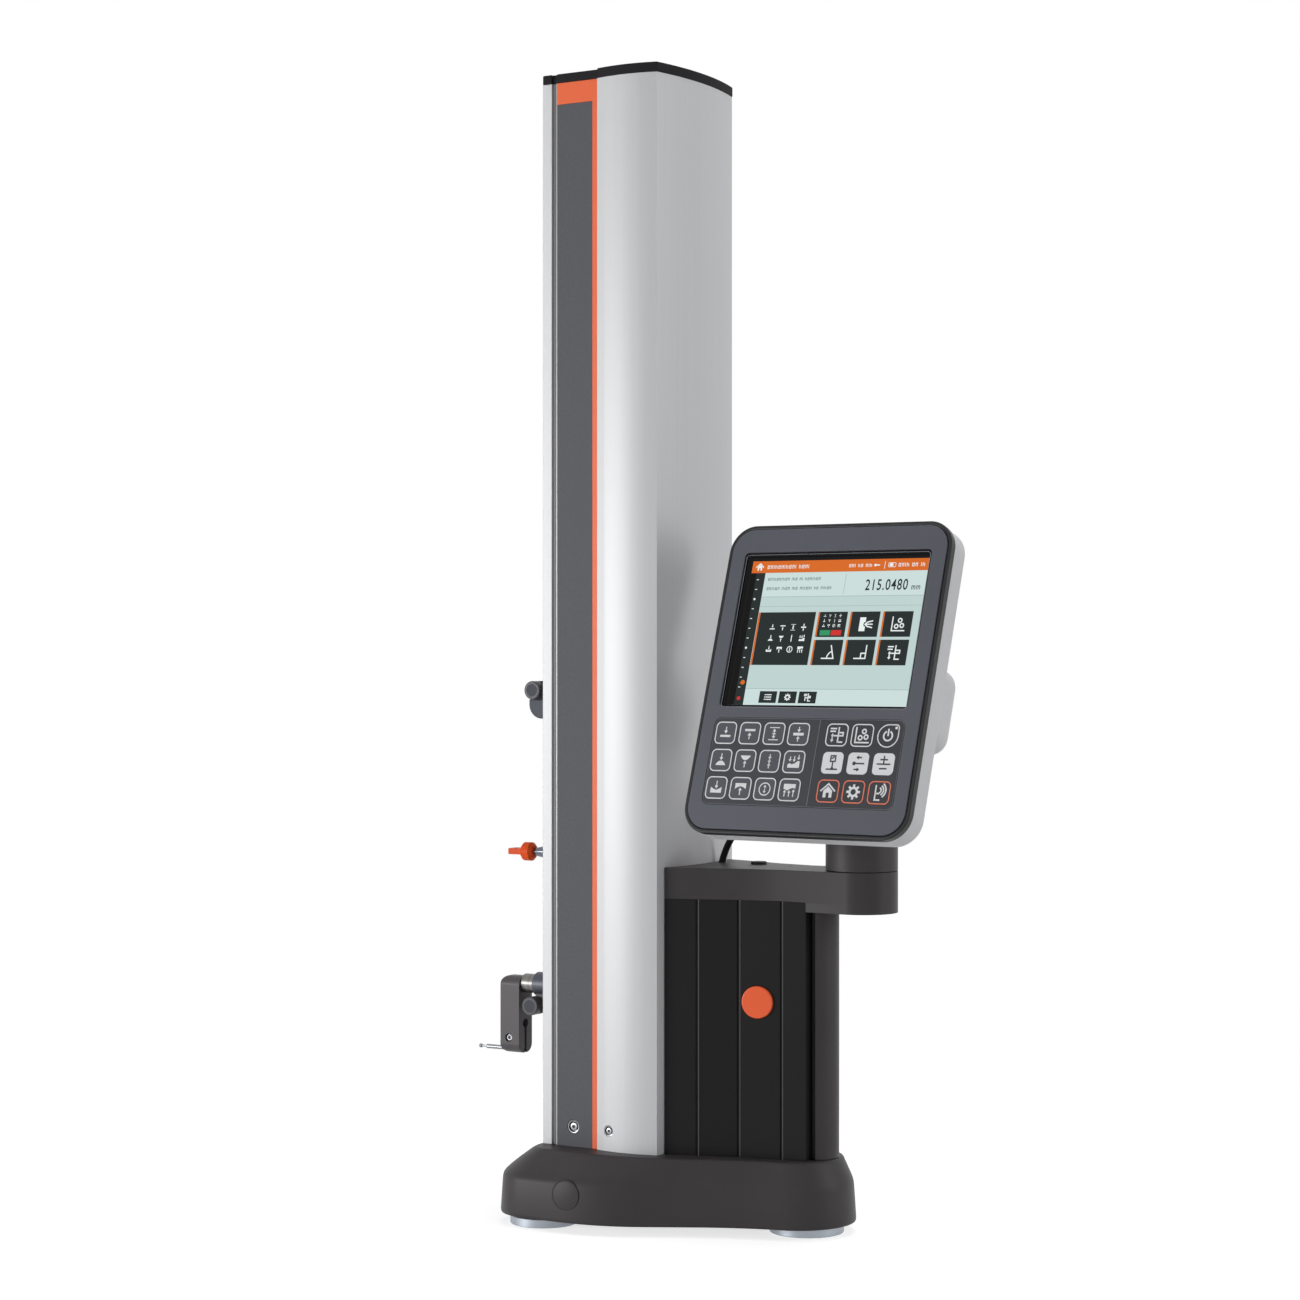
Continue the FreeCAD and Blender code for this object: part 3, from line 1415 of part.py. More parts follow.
def make_post():
    """The swivel drum with its leaning neck, drawn square and then turned with the display."""
    forward, height = hinge_point()
    bottom = S.plate_z + S.drum_gap
    top = bottom + S.drum_height
    drum = rod("Z", 0, 0, bottom, S.post_radius, S.drum_height)
    stub = rod("Z", 0, 0, S.plate_z - S.bearing_depth + 1, S.bearing_bore,
               S.bearing_depth - 1 + S.drum_gap)
    drum = round_edges(drum, 2, lambda e: e.BoundBox.ZMin > top.value - 1e-6)
    neck = doc.addObject("PartDesign::Body", "Body")
    profile = sketch(neck, "YZ", -S.neck_half)
    foot, head = S.neck_foot, S.neck_top
    outline(profile, [
        (-foot, top - 1), (foot, top - 1), (head - forward, height), (-head - forward, height),
    ])
    pad(neck, profile, S.neck_half * 2)
    hub = rod("X", -S.notch_half + S.hinge_clear, -forward, height, S.hinge_radius,
              S.notch_half * 2 - S.hinge_clear * 2)
    bore = rod("X", -S.notch_half - 1, -forward, height, S.hinge_pin + S.shaft_gap,
               S.notch_half * 2 + 2)
    turn = Rotation(Vector(0, 0, 1), -S.display_turn.value)
    post = cut(fuse(drum, stub, neck, hub), bore)
    node("swivel_post", place(post, S.post_x, 0, 0, turn))


# Cable

CABLE_ROUTE = [
    (-8.6, 23.4, 306.0),
    (-5.5, 23.0, 319.0),
    (4.5, 21.0, 337.5),
    (24.0, 16.0, 354.0),
    (52.0, 6.4, 371.0),
    (80.0, -3.4, 382.0),
    (104.0, -9.85, 386.0),
    (125.2, -11.15, 386.0),
]


def rounded_route(points):
    """Straight runs joined by tangent arcs, as one wire."""
    spots = [Vector(*p) for p in points]
    edges = []
    last = spots[0]
    for before, here, after in zip(spots, spots[1:], spots[2:]):
        into = (before - here)
        out = (after - here)
        turn = math.pi - into.getAngle(out)
        run = min(into.Length, out.Length)
        trim = 0.45 * run
        radius = trim / math.tan(turn / 2)
        into.normalize()
        out.normalize()
        bisector = (into + out).normalize()
        start, end = here + into * trim, here + out * trim
        reach = math.hypot(radius, trim) - radius
        edges.append(Part.LineSegment(last, start).toShape())
        edges.append(Part.Arc(start, here + bisector * reach, end).toShape())
        print(f"cable bend radius {radius:.1f}")
        last = end
    edges.append(Part.LineSegment(last, spots[-1]).toShape())
    return Part.Wire(edges)


def make_cable():
    path = rounded_route(CABLE_ROUTE)
    start = Vector(*CABLE_ROUTE[0])
    direction = Vector(*CABLE_ROUTE[1]) - start
    ring = Part.Wire(Part.Circle(start, direction, S.cable_radius.value).toShape())
    tube = path.makePipeShell([ring], True, False)
    area = math.pi * S.cable_radius.value ** 2
    print(f"cable volume {tube.Volume:.0f}, section times length {area * path.Length:.0f}")
    cable = doc.addObject("Part::Feature", "Cable")
    cable.Shape = tube
    node("display_cable", cable)


def write_parts():
    doc.recompute()
    for obj in doc.Objects:
        if "Invalid" in obj.State or "Error" in obj.State:
            raise ValueError(obj.Name + " " + obj.Label + " failed: " + str(obj.State))
    for obj in nodes:
        if obj.Shape.isNull() or not obj.Shape.isValid() or not obj.Shape.Solids:
            raise ValueError(obj.Label + " has no valid solid")
    os.makedirs("parts", exist_ok=True)
    for obj in nodes:
        obj.Shape.exportStep("parts/" + obj.Label + ".step")
        box = obj.Shape.BoundBox
        print(f"{obj.Label:20} {len(obj.Shape.Solids)} solids {obj.Shape.Volume / 1000:9.1f} cm3 "
              f"x {box.XMin:7.1f} {box.XMax:7.1f} y {box.YMin:7.1f} {box.YMax:7.1f} "
              f"z {box.ZMin:7.1f} {box.ZMax:7.1f}")


fill_sheet()
make_base()
make_column_skin()
make_column_inside()
make_drive()
make_slider()
make_probe()
make_grip()
make_display()
make_post()
make_cable()
write_parts()
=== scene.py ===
import json
import math

import bmesh
import bpy
from mathutils import Matrix, Vector

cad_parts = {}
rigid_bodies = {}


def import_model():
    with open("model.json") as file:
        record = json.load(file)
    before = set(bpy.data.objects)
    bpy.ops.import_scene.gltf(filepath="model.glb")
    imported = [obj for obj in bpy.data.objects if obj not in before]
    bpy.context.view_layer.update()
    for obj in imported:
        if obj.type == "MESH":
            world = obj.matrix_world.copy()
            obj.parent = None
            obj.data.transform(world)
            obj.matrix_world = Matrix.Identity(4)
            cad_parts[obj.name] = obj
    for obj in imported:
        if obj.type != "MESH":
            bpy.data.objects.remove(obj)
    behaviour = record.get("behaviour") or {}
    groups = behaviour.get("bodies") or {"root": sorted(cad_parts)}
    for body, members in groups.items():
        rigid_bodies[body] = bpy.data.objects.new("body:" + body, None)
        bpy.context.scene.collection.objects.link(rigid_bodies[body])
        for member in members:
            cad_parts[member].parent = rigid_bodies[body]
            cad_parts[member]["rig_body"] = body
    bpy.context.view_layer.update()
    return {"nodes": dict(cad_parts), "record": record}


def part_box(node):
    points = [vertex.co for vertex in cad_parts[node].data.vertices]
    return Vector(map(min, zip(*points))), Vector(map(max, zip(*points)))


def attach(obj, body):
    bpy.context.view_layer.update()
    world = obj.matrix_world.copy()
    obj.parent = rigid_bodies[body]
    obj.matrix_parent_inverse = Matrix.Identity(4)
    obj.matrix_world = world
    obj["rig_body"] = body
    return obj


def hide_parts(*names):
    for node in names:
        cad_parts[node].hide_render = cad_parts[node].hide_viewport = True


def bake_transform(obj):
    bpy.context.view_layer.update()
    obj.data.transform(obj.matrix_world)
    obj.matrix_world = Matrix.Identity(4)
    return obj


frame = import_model()

# Sizes shared with the part's source, in millimetres and degrees.
MM = 0.001
POST_X = 144.3
DISPLAY_TURN = 3.5
DISPLAY_TILT = 18.0
DISPLAY_REACH = 76.0
DISPLAY_Z = 480.7
GLASS_FRONT = -3.0
KEYPAD_FRONT = -0.4

# The camera stands where the photograph was taken from, level with the display.
CAMERA_PLACE = (1.2391, -2.1819, 0.5035)
CAMERA_TURN = 30.91
CAMERA_NEAR = 0.05
CAMERA_FAR = 60.0
LENS = 78.65
SENSOR = 36.0

# The studio, in metres and watts: each lamp's place, aim, size and power.
LAMPS = {
    "window_left": ((-2.1, -2.6, 0.44), (0, 0, 0.35), (1.6, 0.9), 63.0),
    "window_right": ((3.0, 0.6, 1.2), (0, 0, 0.5), (1.4, 2.2), 30.0),
    "top_light": ((0.2, 0.4, 3.2), (0, 0, 0.5), (2.0, 2.0), 26.0),
}
SKY_LEVEL = 0.2
FLOOR_HALF = 12.0
FLOOR_GLOW = 0.68
SHADOW_FADES_FROM = 0.5
SHADOW_ENDS = 1.1
WHITE = (1, 1, 1, 1)
FLOOR_GREY = (0.85, 0.85, 0.85, 1)


# Nodes


class Signal:
    """The output of a node, which can be used in sums."""

    def __init__(self, maker, socket):
        self.maker = maker
        self.socket = socket

    def maths(self, operation, first, second):
        return self.maker.part("Math", 0, {"operation": operation}, {0: first, 1: second})

    def __add__(self, other):
        return self.maths("ADD", self, other)

    def __radd__(self, other):
        return self.maths("ADD", other, self)

    def __sub__(self, other):
        return self.maths("SUBTRACT", self, other)

    def __mul__(self, other):
        return self.maths("MULTIPLY", self, other)

    def over(self, level):
        """1 where the signal is over the level, and 0 elsewhere."""
        return self.maths("GREATER_THAN", self, level)

    def larger(self, other):
        return self.maths("MAXIMUM", self, other)


class NodeMaker:
    """Adds nodes to one tree."""

    def __init__(self, tree):
        self.tree = tree
        tree.nodes.clear()

    def node(self, kind, settings=None, inputs=None):
        """A new node: its settings first, then the values or links of its sockets."""
        made = self.tree.nodes.new(kind if "Node" in kind else "ShaderNode" + kind)
        for key, value in (settings or {}).items():
            if key == "stops":
                set_stops(made.color_ramp, value)
            else:
                setattr(made, key, value)
        for key, value in (inputs or {}).items():
            if isinstance(value, Signal):
                self.tree.links.new(value.socket, made.inputs[key])
            else:
                made.inputs[key].default_value = value
        return made

    def part(self, kind, output=0, settings=None, inputs=None):
        """One output of a new node, as a signal."""
        return Signal(self, self.node(kind, settings, inputs).outputs[output])

    def seen(self):
        """1 for what the camera sees, straight on, in a reflection or through glass."""
        path = self.node("LightPath").outputs
        kinds = ("Is Camera Ray", "Is Glossy Ray", "Is Transmission Ray")
        camera, glossy, clear = (Signal(self, path[kind]) for kind in kinds)
        return camera.larger(glossy).larger(clear)


def set_stops(ramp, stops):
    for number, (position, level) in enumerate(stops):
        stop = ramp.elements[number] if number < 2 else ramp.elements.new(position)
        stop.position = position
        stop.color = (level, level, level, 1)


class Paint(NodeMaker):
    """One material and the nodes in it."""

    def __init__(self, name):
        self.material = bpy.data.materials.new(name)
        self.material.use_nodes = True
        super().__init__(self.material.node_tree)
        self.place = self.part("TexCoord", "Object")

    def axis(self, letter):
        return self.part("SeparateXYZ", letter, None, {0: self.place})

    def noise(self, scale, detail=2.0, stretch=(1, 1, 1)):
        """Cloudy values about 0.5, with so many clouds to the metre."""
        mapped = self.part("Mapping", 0, None, {"Vector": self.place, "Scale": stretch})
        return self.part("TexNoise", 0, None, {"Vector": mapped, "Scale": scale, "Detail": detail})

    def clouds(self):
        """Broad soft clouds from 0 to 1, for a drift of tone and gloss."""
        return self.ramp(self.noise(9.0, 3.0), (0.3, 0.0), (0.7, 1.0))

    def streaks(self):
        """Faint streaks along the upright draw line of a drawn profile."""
        return self.noise(260.0, 3.0, (1.0, 1.0, 0.012))

    def cells(self, scale):
        """Distance to the nearest of so many pits to the metre."""
        return self.part("TexVoronoi", "Distance", None, {"Vector": self.place, "Scale": scale})

    def ramp(self, signal, *stops):
        return self.part("ValToRGB", 0, {"stops": stops}, {0: signal})

    def blend(self, amount, first, second):
        return self.part("Mix", 2, {"data_type": "RGBA"}, {0: amount, 6: first, 7: second})

    def shades(self, amount, colour, low, high):
        """A colour between two shades of itself."""
        return self.blend(amount, shade(colour, low), shade(colour, high))

    def bump(self, height, distance):
        """The normal of a relief so many millimetres deep."""
        return self.part("Bump", 0, None, {"Height": height, "Distance": distance * MM, "Strength": 1.0})

    def finish(self, **inputs):
        named = {name.replace("_", " "): value for name, value in inputs.items()}
        surface = self.part("BsdfPrincipled", 0, None, named)
        self.node("OutputMaterial", None, {0: surface})
        return self.material


def shade(colour, factor=1.0):
    return tuple(min(1.0, c * factor) for c in colour) + (1.0,)


# Kinds of finish


def moulded(name, colour, rough, grain=1400.0, relief=0.03, drift=0.12, shine=0.5):
    """Satin plastic or paint: a fine grain, and a faint drift of tone and gloss."""
    paint = Paint(name)
    tone = paint.clouds()
    fine = paint.noise(grain)
    return paint.finish(
        Base_Color=paint.shades(tone, colour, 1 - drift, 1 + drift),
        Roughness=rough - 0.04 + tone * 0.05 + fine * 0.05,
        Normal=paint.bump(fine, relief),
        Specular_IOR_Level=shine,
    )


def anodised(name, colour, rough, metal):
    """Drawn and anodised aluminium, with streaks along the draw line."""
    paint = Paint(name)
    streak = paint.streaks()
    dust = paint.noise(2600.0, 1.0)
    return paint.finish(
        Base_Color=paint.shades(streak, colour, 0.96, 1.03),
        Metallic=metal,
        Roughness=rough - 0.03 + streak * 0.06,
        Normal=paint.bump(streak * 0.7 + dust * 0.3, 0.012),
    )


def folded(name, colour, back_colour, rough, painted_shade_from):
    """A pale drawn frame whose return, behind the given X, is darker with painted shade."""
    paint = Paint(name)
    streak = paint.streaks()
    # Painted shade on the return, which faces away from the light.
    back = paint.axis("X").over(painted_shade_from * MM)
    front = paint.shades(streak, colour, 0.96, 1.03)
    return paint.finish(
        Base_Color=paint.blend(back, front, shade(back_colour)),
        Metallic=0.1,
        Roughness=rough - 0.03 + streak * 0.06,
        Normal=paint.bump(streak, 0.012),
    )


def one_sided(name, colour, back_colour, rough, outside):
    """Satin paint beyond the given Y on either side, and bare dark metal behind it."""
    paint = Paint(name)
    y = paint.axis("Y")
    outer = (y * y).over((outside * MM) ** 2)
    tone = paint.clouds()
    fine = paint.noise(1800.0)
    coat = paint.shades(tone, colour, 0.96, 1.04)
    return paint.finish(
        Base_Color=paint.blend(outer, shade(back_colour), coat),
        Roughness=rough - 0.04 + tone * 0.05 + fine * 0.05,
        Normal=paint.bump(fine, 0.015),
        Specular_IOR_Level=0.3,
    )


def highlighted_coat(name, colour, highlight_colour, rough, shine, edges):
    """A dark coat with painted highlights: paler stripes on upright edges that run from one X to another."""
    paint = Paint(name)
    x = paint.axis("X")
    # Painted highlights: the edges are coloured paler where they would catch the light.
    painted_highlight = sum(x.over(low * MM) - x.over(high * MM) for low, high in edges)
    tone = paint.noise(9.0, 3.0)
    fine = paint.noise(2000.0)
    coat = paint.shades(tone, colour, 0.85, 1.15)
    return paint.finish(
        Base_Color=paint.blend(painted_highlight, coat, shade(highlight_colour)),
        Roughness=rough - 0.04 + tone * 0.04 + fine * 0.05,
        Normal=paint.bump(fine, 0.02),
        Specular_IOR_Level=shine,
    )


def ringed(name, colour, rough):
    """Steel turned with a coarse feed, so that it shows fine rings along X."""
    paint = Paint(name)
    rings = paint.noise(900.0, 1.0, (1.0, 0.02, 0.02))
    return paint.finish(
        Base_Color=paint.shades(rings, colour, 0.55, 1.3),
        Metallic=0.85,
        Roughness=rough + rings * 0.1,
        Normal=paint.bump(rings, 0.05),
    )


def grained(name, colour, rough):
    """Wrinkle-grained paint: close round pits with a little sparkle."""
    paint = Paint(name)
    pits = paint.cells(1150.0)
    cloud = paint.noise(420.0, 3.0)
    return paint.finish(
        Base_Color=paint.shades(cloud, colour, 0.86, 1.16),
        Roughness=rough - 0.08 + pits * 0.2,
        Normal=paint.bump(pits * 0.6 + cloud * 0.4, 0.10),
        Specular_IOR_Level=0.3,
    )


def turned(name, colour, rough, axis):
    """Turned or ground steel, with tool lines across the given axis."""
    paint = Paint(name)
    stretch = tuple(1.0 if letter == axis else 0.03 for letter in "XYZ")
    lines = paint.noise(2400.0, 2.0, stretch)
    return paint.finish(
        Base_Color=paint.shades(lines, colour, 0.88, 1.06),
        Metallic=1.0,
        Roughness=rough + lines * 0.12,
        Normal=paint.bump(lines, 0.012),
    )


def cast(name, colour):
    """Bare cast iron with a rough skin."""
    paint = Paint(name)
    rough = paint.noise(320.0, 5.0)
    return paint.finish(
        Base_Color=paint.shades(rough, colour, 0.75, 1.2),
        Metallic=0.6,
        Roughness=0.5 + rough * 0.25,
        Normal=paint.bump(rough, 0.25),
    )


def board(name, colour):
    """A printed circuit board: copper runs under green lacquer."""
    paint = Paint(name)
    runs = paint.ramp(paint.noise(380.0, 1.0, (1.0, 0.15, 1.0)), (0.5, 0.0), (0.54, 1.0))
    return paint.finish(
        Base_Color=paint.shades(runs, colour, 0.8, 1.9),
        Roughness=0.35 + runs * 0.1,
        Normal=paint.bump(runs, 0.04),
    )


def lit(name, colour):
    """A lit part of the screen, with the fine grid of its pixels."""
    paint = Paint(name)
    grid = paint.noise(3200.0, 0.0)
    return paint.finish(
        Base_Color=(0.01, 0.01, 0.01, 1),
        Emission_Color=paint.shades(grid, colour, 0.97, 1.03),
        Emission_Strength=1.0,
        Roughness=0.3,
        Specular_IOR_Level=0.0,
    )


def ink(name, colour):
    """Printing ink with a slightly uneven coat."""
    paint = Paint(name)
    tone = paint.noise(900.0)
    return paint.finish(
        Base_Color=paint.shades(tone, colour, 0.95, 1.02),
        Roughness=0.34 + tone * 0.1,
    )


def dark_glass(name):
    """Black glass with a faint smear in its gloss."""
    paint = Paint(name)
    smear = paint.noise(30.0, 4.0)
    return paint.finish(
        Base_Color=(0.004, 0.004, 0.005, 1),
        Roughness=0.10 + smear * 0.08,
        Specular_IOR_Level=0.12,
    )


# Where a finish changes on its piece, in millimetres.
# Painted highlights on the grip's grooves and on the front edge of the grip and the arm.
GRIP_HIGHLIGHTS = [(-18.3, -17.7), (11.1, 11.7), (45.2, 45.8), (83.1, 83.7)]
ARM_HIGHLIGHTS = [(-18.3, -17.6)]
# Behind this X the frame's return is painted in shade.
FRAME_RETURN_X = -128.0
TRIM_INSIDE_Y = 66.5

# Painted and moulded skins
SATIN = moulded("black_satin_paint", (0.048, 0.0435, 0.0455), 0.44, 1100.0, 0.05, shine=0.2)
GRIP = highlighted_coat("grip_coat", (0.012, 0.0112, 0.0115), (0.13, 0.13, 0.14), 0.40, 0.12, GRIP_HIGHLIGHTS)
ARM = highlighted_coat("arm_coat", (0.044, 0.040, 0.041), (0.15, 0.15, 0.155), 0.44, 0.2, ARM_HIGHLIGHTS)
GRAINED = grained("dark_grained_paint", (0.088, 0.091, 0.104), 0.58)
ORANGE_PAINT = one_sided("orange_paint", (0.93, 0.155, 0.048), (0.03, 0.03, 0.03), 0.42, TRIM_INSIDE_Y)
ORANGE_PLASTIC = moulded(
    "orange_plastic", (0.98, 0.130, 0.034), 0.36, 1500.0, 0.02, drift=0.05, shine=0.4
)
LOCK_ORANGE = moulded("lock_orange", (0.78, 0.090, 0.018), 0.40, 1500.0, 0.02, drift=0.05, shine=0.1)
LUG = moulded("lug_coat", (0.060, 0.066, 0.084), 0.46, 1700.0, 0.02, shine=0.2)
HOLDER = moulded("holder_coat", (0.078, 0.072, 0.077), 0.42, 1700.0, 0.03, shine=0.3)
KNOB_FACE = moulded("knob_face", (0.076, 0.080, 0.095), 0.56, 1900.0, 0.02, shine=0.12)
CAP = moulded("cap_plastic", (0.020, 0.020, 0.022), 0.66, 1500.0, 0.03, shine=0.08)
RIM = moulded("rim_plastic", (0.014, 0.014, 0.016), 0.36, 1600.0, 0.02, shine=0.3)
FACE = moulded("face_paint", (0.096, 0.101, 0.122), 0.46, 1900.0, 0.02, drift=0.05, shine=0.3)
SHELL = moulded("shell_plastic", (0.64, 0.645, 0.66), 0.46, 1500.0, 0.04, drift=0.03, shine=0.3)
FILM = moulded("keypad_film", (0.050, 0.052, 0.061), 0.36, 2600.0, 0.01, drift=0.05, shine=0.25)
KEY_FILL = moulded("key_fill", (0.088, 0.093, 0.108), 0.36, 2600.0, 0.01, drift=0.05, shine=0.25)
FILM_DARK = moulded("keypad_film_dark", (0.044, 0.045, 0.052), 0.36, 2600.0, 0.01, drift=0.05, shine=0.25)
RUBBER = moulded("cable_rubber", (0.012, 0.011, 0.011), 0.50, 1600.0, 0.04, shine=0.3)
BLACK = moulded("black_plastic", (0.014, 0.014, 0.015), 0.50, 1300.0, 0.04, shine=0.25)

# Metals, boards and glass
SILVER = anodised("silver_cover", (0.59, 0.595, 0.61), 0.42, 0.12)
# The pale frame carries painted shade on its return.
PALE_FRAME = folded("pale_frame", (0.655, 0.66, 0.675), (0.125, 0.125, 0.127), 0.44, FRAME_RETURN_X)
BRIGHT = anodised("bright_strip", (0.30, 0.30, 0.30), 0.40, 0.3)
BLUE_STEEL = anodised("blued_steel", (0.066, 0.073, 0.092), 0.42, 0.25)
STEEL = turned("turned_steel", (0.50, 0.505, 0.52), 0.24, "X")
SHAFT = ringed("ringed_shaft", (0.20, 0.192, 0.184), 0.30)
SCREW = turned("screw_steel", (0.40, 0.405, 0.42), 0.26, "X")
PIN_STEEL = turned("pin_steel", (0.24, 0.245, 0.26), 0.26, "X")
CHROME = turned("bright_cone", (0.15, 0.16, 0.185), 0.14, "X")
FOOT = turned("lapped_foot", (0.34, 0.37, 0.41), 0.34, "Z")
MACHINED = turned("machined_steel", (0.52, 0.53, 0.55), 0.30, "Z")
ALLOY = turned("machined_alloy", (0.62, 0.63, 0.65), 0.34, "X")
IRON = cast("cast_iron", (0.16, 0.16, 0.165))
BOARD = board("circuit_board", (0.02, 0.12, 0.05))
GLASS = dark_glass("screen_glass")

# Printing on the keypad, a painted highlight on the window's edge, and light on the screen
WHITE_INK = ink("white_ink", (0.80, 0.81, 0.83))
ORANGE_INK = ink("orange_ink", (0.84, 0.20, 0.11))
DARK_INK = ink("dark_ink", (0.03, 0.03, 0.034))
# Edge ink prints the keypad's edge lines and paints a highlight round the face's window.
EDGE_INK_AND_HIGHLIGHT = ink("edge_ink_and_highlight", (0.19, 0.20, 0.22))
SCREEN_GROUND = lit("screen_ground", (0.52, 0.655, 0.635))
SCREEN_PALE_GROUND = lit("screen_pale_ground", (0.60, 0.73, 0.71))
SCREEN_LINE = lit("screen_line", (0.36, 0.47, 0.46))
SCREEN_PRINT = lit("screen_print", (0.10, 0.145, 0.14))
SCREEN_PALE = lit("screen_pale", (0.82, 0.88, 0.87))
SCREEN_DARK = lit("screen_dark", (0.020, 0.028, 0.027))
SCREEN_BLACK = lit("screen_black", (0.005, 0.005, 0.005))
SCREEN_ORANGE = lit("screen_orange", (0.68, 0.145, 0.020))
SCREEN_RED = lit("screen_red", (0.62, 0.035, 0.03))
SCREEN_GREEN = lit("screen_green", (0.035, 0.30, 0.13))


# Pieces

# How meshes are joined, bevelled and smoothed, in millimetres and degrees.
WELD = 0.002
FLAT = 0.4
SHARP = 30.0
SHARP_ON_SOLIDS = 50.0
SHARP_ON_SCREWS = 35.0
BEVELLED_FROM = 32.0
EVEN_WEIGHT = 80


def add_object(name, data):
    made = bpy.data.objects.new(name, data)
    bpy.context.scene.collection.objects.link(made)
    return made


def give_finish(mesh, finish):
    mesh.materials.clear()
    mesh.materials.append(finish)


def smooth(mesh, angle):
    mesh.shade_smooth()
    mesh.set_sharp_from_angle(angle=math.radians(angle))


def plain_mesh(holder):
    """The mesh that a curve, a text or modifiers make, after which their object goes."""
    bpy.context.view_layer.update()
    shown = holder.evaluated_get(bpy.context.evaluated_depsgraph_get())
    mesh = bpy.data.meshes.new_from_object(shown)
    bpy.data.objects.remove(holder)
    return mesh


def new_piece(name, mesh, finish):
    give_finish(mesh, finish)
    return add_object(name, mesh)


def from_bmesh(name, shape, finish, place=None, sharp=SHARP):
    """A finished bmesh as a piece, moved to its place in its own mesh."""
    if place is not None:
        bmesh.ops.transform(shape, matrix=place, verts=shape.verts)
    mesh = bpy.data.meshes.new(name)
    shape.to_mesh(mesh)
    shape.free()
    smooth(mesh, sharp)
    return new_piece(name, mesh, finish)


def stand_for(piece, body, node, slot=None):
    """Puts a piece in the place of a CAD node, on the same body. The slot is not used."""
    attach(piece, body)
    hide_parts(node)


def slot_of(node):
    for entry in frame["record"]["subparts"]:
        if entry["node"] == node:
            return entry["material_slot"]
    return None


def body_of_node(node):
    return frame["nodes"][node]["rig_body"]


def softened(node, finish, width, segments):
    """A copy of a CAD node with its edges broken, which stands for the node."""
    shape = bmesh.new()
    shape.from_mesh(frame["nodes"][node].data)
    bmesh.ops.remove_doubles(shape, verts=shape.verts, dist=WELD * MM)
    bmesh.ops.dissolve_limit(
        shape, angle_limit=math.radians(FLAT), verts=shape.verts, edges=shape.edges
    )
    piece = from_bmesh(node + "_soft", shape, finish, sharp=SHARP_ON_SOLIDS)
    bevel = piece.modifiers.new("edge", "BEVEL")
    bevel.width = width * MM
    bevel.segments = segments
    bevel.limit_method = "ANGLE"
    bevel.angle_limit = math.radians(BEVELLED_FROM)
    even = piece.modifiers.new("even", "WEIGHTED_NORMAL")
    even.weight = EVEN_WEIGHT
    even.keep_sharp = True
    stand_for(piece, body_of_node(node), node, slot_of(node))


def arc_points(x, y, radius, start, end, steps):
    """Points of an arc, both ends included, with angles in degrees."""
    angles = [math.radians(start + (end - start) * step / steps) for step in range(steps + 1)]
    return [(x + radius * math.cos(angle), y + radius * math.sin(angle)) for angle in angles]


def skin(shape, rings):
    """Faces from each ring of points to the next. A ring may be a single point."""
    steps = max(len(ring) for ring in rings)
    for low, high in zip(rings, rings[1:]):
        for step in range(steps):
            after = (step + 1) % steps
            if len(low) == 1:
                shape.faces.new((low[0], high[after], high[step]))
            elif len(high) == 1:
                shape.faces.new((low[step], low[after], high[0]))
            else:
                shape.faces.new((low[step], low[after], high[after], high[step]))


def turned_shape(profile, steps=48, unit=MM):
    """A closed shape turned about Z from (radius, height) points, first and last on the axis."""
    shape = bmesh.new()
    rings = []
    for radius, height in profile:
        points = arc_points(0, 0, radius * unit, 0, 360, steps)[:-1] if radius else [(0, 0)]
        rings.append([shape.verts.new((x, y, height * unit)) for x, y in points])
    skin(shape, rings)
    bmesh.ops.recalc_face_normals(shape, faces=shape.faces)
    return shape


def join_shapes(shapes):
    """Several bmeshes as one."""
    joined = bmesh.new()
    for shape in shapes:
        mesh = bpy.data.meshes.new("part")
        shape.to_mesh(mesh)
        shape.free()
        joined.from_mesh(mesh)
        bpy.data.meshes.remove(mesh)
    return joined


# Base cover

# The plans of the base's wide foot and of its top, as the part's source has them.
WIDE_PLAN = {
    "front": -167.0,
    "half": 118.5,
    "corner": 40.0,
    "shoulder_x": -89.0,
    "shoulder_r": 150.0,
    "taper": 29.0,
    "run": 47.3,
    "waist_r": 285.0,
    "turn": 14.0,
}
HIGH_PLAN = {
    "front": -142.0,
    "half": 91.0,
    "corner": 22.0,
    "shoulder_x": -79.0,
    "shoulder_r": 200.0,
    "taper": 26.0,
    "run": 21.8,
    "waist_r": 219.7,
    "turn": 10.0,
}
FRONT_STEPS = 4
CORNER_STEPS = 14
BEND_STEPS = 12
RUN_STEPS = 5
TAIL_STEPS = 22

# Levels of the skin: height, inset, and share of the way from the wide plan to the high plan.
BASE_HOLLOW = [
    (61.4, 4.0, 1.0),
    (46.0, 6.0, 0.0),
    (9.0, 4.0, 0.0),
]
BASE_SKIN = [
    (9.0, 1.6, 0.0),
    (9.3, 0.7, 0.0),
    (10.2, 0.15, 0.0),
    (12.0, 0.0, 0.0),
    (28.0, 1.0, 0.0),
    (40.0, 1.8, 0.0),
    (43.5, 2.0, 0.02),
    (46.5, 2.0, 0.10),
    (50.0, 1.9, 0.24),
    (56.0, 1.6, 0.52),
    (61.0, 1.0, 0.79),
    (63.6, 0.6, 0.93),
    (64.8, 0.9, 1.0),
    (65.3, 1.9, 1.0),
    (65.4, 3.0, 1.0),
]


